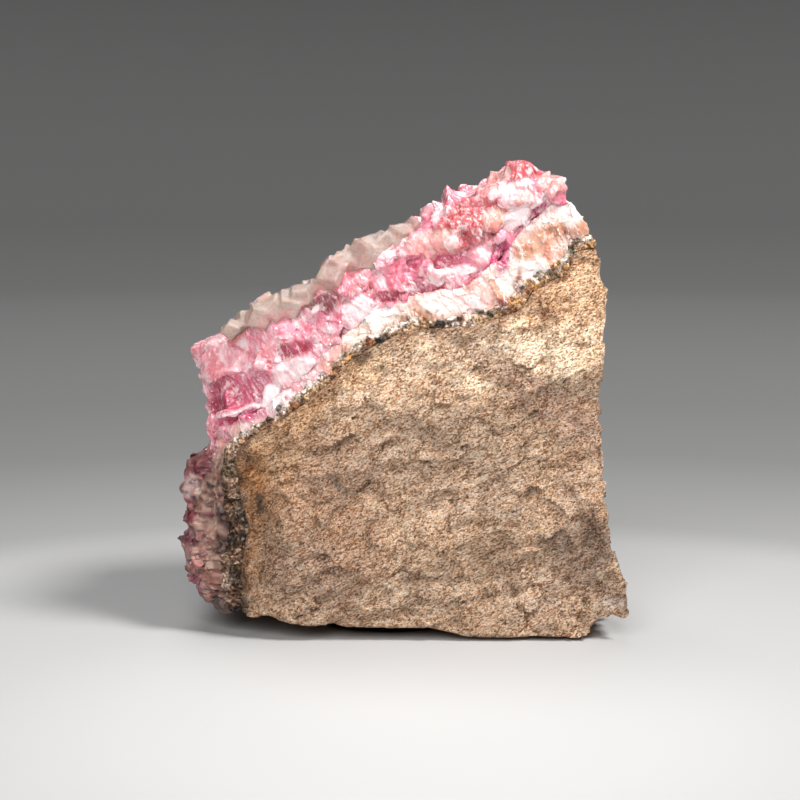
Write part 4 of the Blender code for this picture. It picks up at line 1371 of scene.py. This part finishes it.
def make_stage(settings):
    """The paper, soft lights, light from all round and the camera."""
    make_paper()
    make_light("key", (0.46, -0.32, 0.72), settings.key_power, 0.30, (1.0, 0.99, 0.975))
    make_light("fill", (-0.16, -0.74, 0.50), settings.fill_power, 0.50)
    make_light("top", (-0.10, 0.25, 0.85), settings.top_power, 0.45)
    world = bpy.data.worlds.new("room")
    world.use_nodes = True
    background = world.node_tree.nodes["Background"]
    background.inputs["Color"].default_value = (1.0, 1.0, 1.0, 1.0)
    background.inputs["Strength"].default_value = settings.room_light
    bpy.context.scene.world = world
    bpy.context.scene.view_settings.view_transform = "Standard"
    make_camera()


class StoneSettings(bpy.types.PropertyGroup):
    """The sandstone and the ore on it."""

    face_size: FloatProperty(
        name="Face size", description="Size of the sandstone's small faces", default=0.5 * MM, unit="LENGTH"
    )
    layer_face: FloatProperty(
        name="Seam face size", description="Size of the ore seam's small faces", default=0.46 * MM,
        unit="LENGTH",
    )
    relief: FloatProperty(
        name="Relief", description="Strength of the broken relief", default=1.0, subtype="FACTOR"
    )
    base_colour: FloatVectorProperty(
        name="Stone colour", description="Colour of the sandstone between its stains", subtype="COLOR",
        default=(0.475, 0.312, 0.200),
    )
    grain_size: FloatProperty(
        name="Grain size", description="Size of a sand grain", default=0.40 * MM, unit="LENGTH"
    )
    grain_bump: FloatProperty(
        name="Grain bump", description="How much the grains catch the light", default=1.0, subtype="FACTOR"
    )


class VeinSettings(bpy.types.PropertyGroup):
    """The calcite of the pale band, the pink crust and the smoky crystals."""

    layer_face: FloatProperty(
        name="Band face size", description="Size of the pale band's small faces", default=0.46 * MM,
        unit="LENGTH",
    )
    crust_face: FloatProperty(
        name="Crust face size", description="Size of the pink crust's small faces", default=0.50 * MM,
        unit="LENGTH",
    )
    flake_size: FloatProperty(
        name="Flake size", description="Size of the small broken faces", default=1.1 * MM, unit="LENGTH"
    )
    flake_bump: FloatProperty(
        name="Flake bump", description="How much the small faces catch the light", default=0.6,
        subtype="FACTOR",
    )
    veil: FloatProperty(name="Veils", description="How white the veils are", default=0.8, subtype="FACTOR")
    band_veil: FloatVectorProperty(
        name="Band veils", description="Colour of the pale band's veils", subtype="COLOR",
        default=(0.94, 0.82, 0.78),
    )
    crust_veil: FloatVectorProperty(
        name="Crust veils", description="Colour of the pink crust's veils", subtype="COLOR",
        default=CALCITE["frost"],
    )
    deep: FloatProperty(
        name="Depth", description="How deep the colour of the clear parts is", default=0.5, subtype="FACTOR"
    )
    glow_depth: FloatProperty(
        name="Glow depth", description="How far light spreads in the calcite", default=0.8 * MM,
        unit="LENGTH",
    )
    smoky_face: FloatProperty(
        name="Smoky face size", description="Size of the smoky crystals' small faces", default=0.28 * MM,
        unit="LENGTH",
    )
    smoke_colour: FloatVectorProperty(
        name="Smoke colour", description="Colour of the light that passes the smoky crystals",
        subtype="COLOR", default=(0.96, 0.72, 0.55),
    )
    smoke: FloatProperty(name="Smoke", description="Density of the smoky crystals", default=9.0)
    seed: IntProperty(name="Seed", description="Changes where the smoky crystals grow", default=5)


class StageSettings(bpy.types.PropertyGroup):
    """The lights."""

    key_power: FloatProperty(
        name="Key light", description="Power of the main light", default=9.6, unit="POWER"
    )
    fill_power: FloatProperty(
        name="Fill light", description="Power of the fill light", default=5.6, unit="POWER"
    )
    top_power: FloatProperty(
        name="Top light", description="Power of the light above", default=2.5, unit="POWER"
    )
    room_light: FloatProperty(name="Room light", description="Light from all sides", default=0.10)


class SPECIMEN_OT_sandstone(bpy.types.Operator):
    """Makes the block of sandstone"""

    bl_idname = "specimen.sandstone"
    bl_label = "Sandstone"

    def execute(self, context):
        make_sandstone(context.scene.specimen_stone)
        return {"FINISHED"}


class SPECIMEN_OT_seam(bpy.types.Operator):
    """Makes the seam of ore on the sandstone"""

    bl_idname = "specimen.seam"
    bl_label = "Ore seam"

    def execute(self, context):
        make_seam(context.scene.specimen_stone)
        return {"FINISHED"}


class SPECIMEN_OT_band(bpy.types.Operator):
    """Makes the pale band of calcite"""

    bl_idname = "specimen.band"
    bl_label = "Pale band"

    def execute(self, context):
        make_band(context.scene.specimen_vein)
        return {"FINISHED"}


class SPECIMEN_OT_crust(bpy.types.Operator):
    """Makes the crust of pink crystals"""

    bl_idname = "specimen.crust"
    bl_label = "Pink crust"

    def execute(self, context):
        make_crust(context.scene.specimen_vein)
        return {"FINISHED"}


class SPECIMEN_OT_smoky(bpy.types.Operator):
    """Makes the smoky crystals on the crust"""

    bl_idname = "specimen.smoky"
    bl_label = "Smoky crystals"

    def execute(self, context):
        make_smoky(context.scene.specimen_vein)
        return {"FINISHED"}


class SPECIMEN_OT_stage(bpy.types.Operator):
    """Makes the floor, the lights and the camera"""

    bl_idname = "specimen.stage"
    bl_label = "Stage"

    def execute(self, context):
        make_stage(context.scene.specimen_stage)
        return {"FINISHED"}


OPERATORS = (
    SPECIMEN_OT_stage, SPECIMEN_OT_sandstone, SPECIMEN_OT_seam, SPECIMEN_OT_band, SPECIMEN_OT_crust,
    SPECIMEN_OT_smoky,
)


class SPECIMEN_PT_panel(bpy.types.Panel):
    """Lists the specimen's settings and the steps that make it"""

    bl_label = "Calcite specimen"
    bl_idname = "SPECIMEN_PT_panel"
    bl_space_type = "VIEW_3D"
    bl_region_type = "UI"
    bl_category = "Specimen"

    def draw(self, context):
        scene = context.scene
        for settings in (scene.specimen_stone, scene.specimen_vein, scene.specimen_stage):
            box = self.layout.box()
            for name in settings.__annotations__:
                box.prop(settings, name)
        for operator in OPERATORS:
            self.layout.operator(operator.bl_idname)


SETTINGS = {
    "specimen_stone": StoneSettings,
    "specimen_vein": VeinSettings,
    "specimen_stage": StageSettings,
}


def register():
    for name, group in SETTINGS.items():
        bpy.utils.register_class(group)
        setattr(bpy.types.Scene, name, PointerProperty(type=group))
    for cls in (*OPERATORS, SPECIMEN_PT_panel):
        bpy.utils.register_class(cls)


def unregister():
    for cls in (SPECIMEN_PT_panel, *reversed(OPERATORS)):
        bpy.utils.unregister_class(cls)
    for name, group in reversed(SETTINGS.items()):
        delattr(bpy.types.Scene, name)
        bpy.utils.unregister_class(group)


def main():
    register()
    bpy.ops.specimen.stage()
    bpy.ops.specimen.sandstone()
    bpy.ops.specimen.seam()
    bpy.ops.specimen.band()
    bpy.ops.specimen.crust()
    bpy.ops.specimen.smoky()


if __name__ == "__main__":
    main()
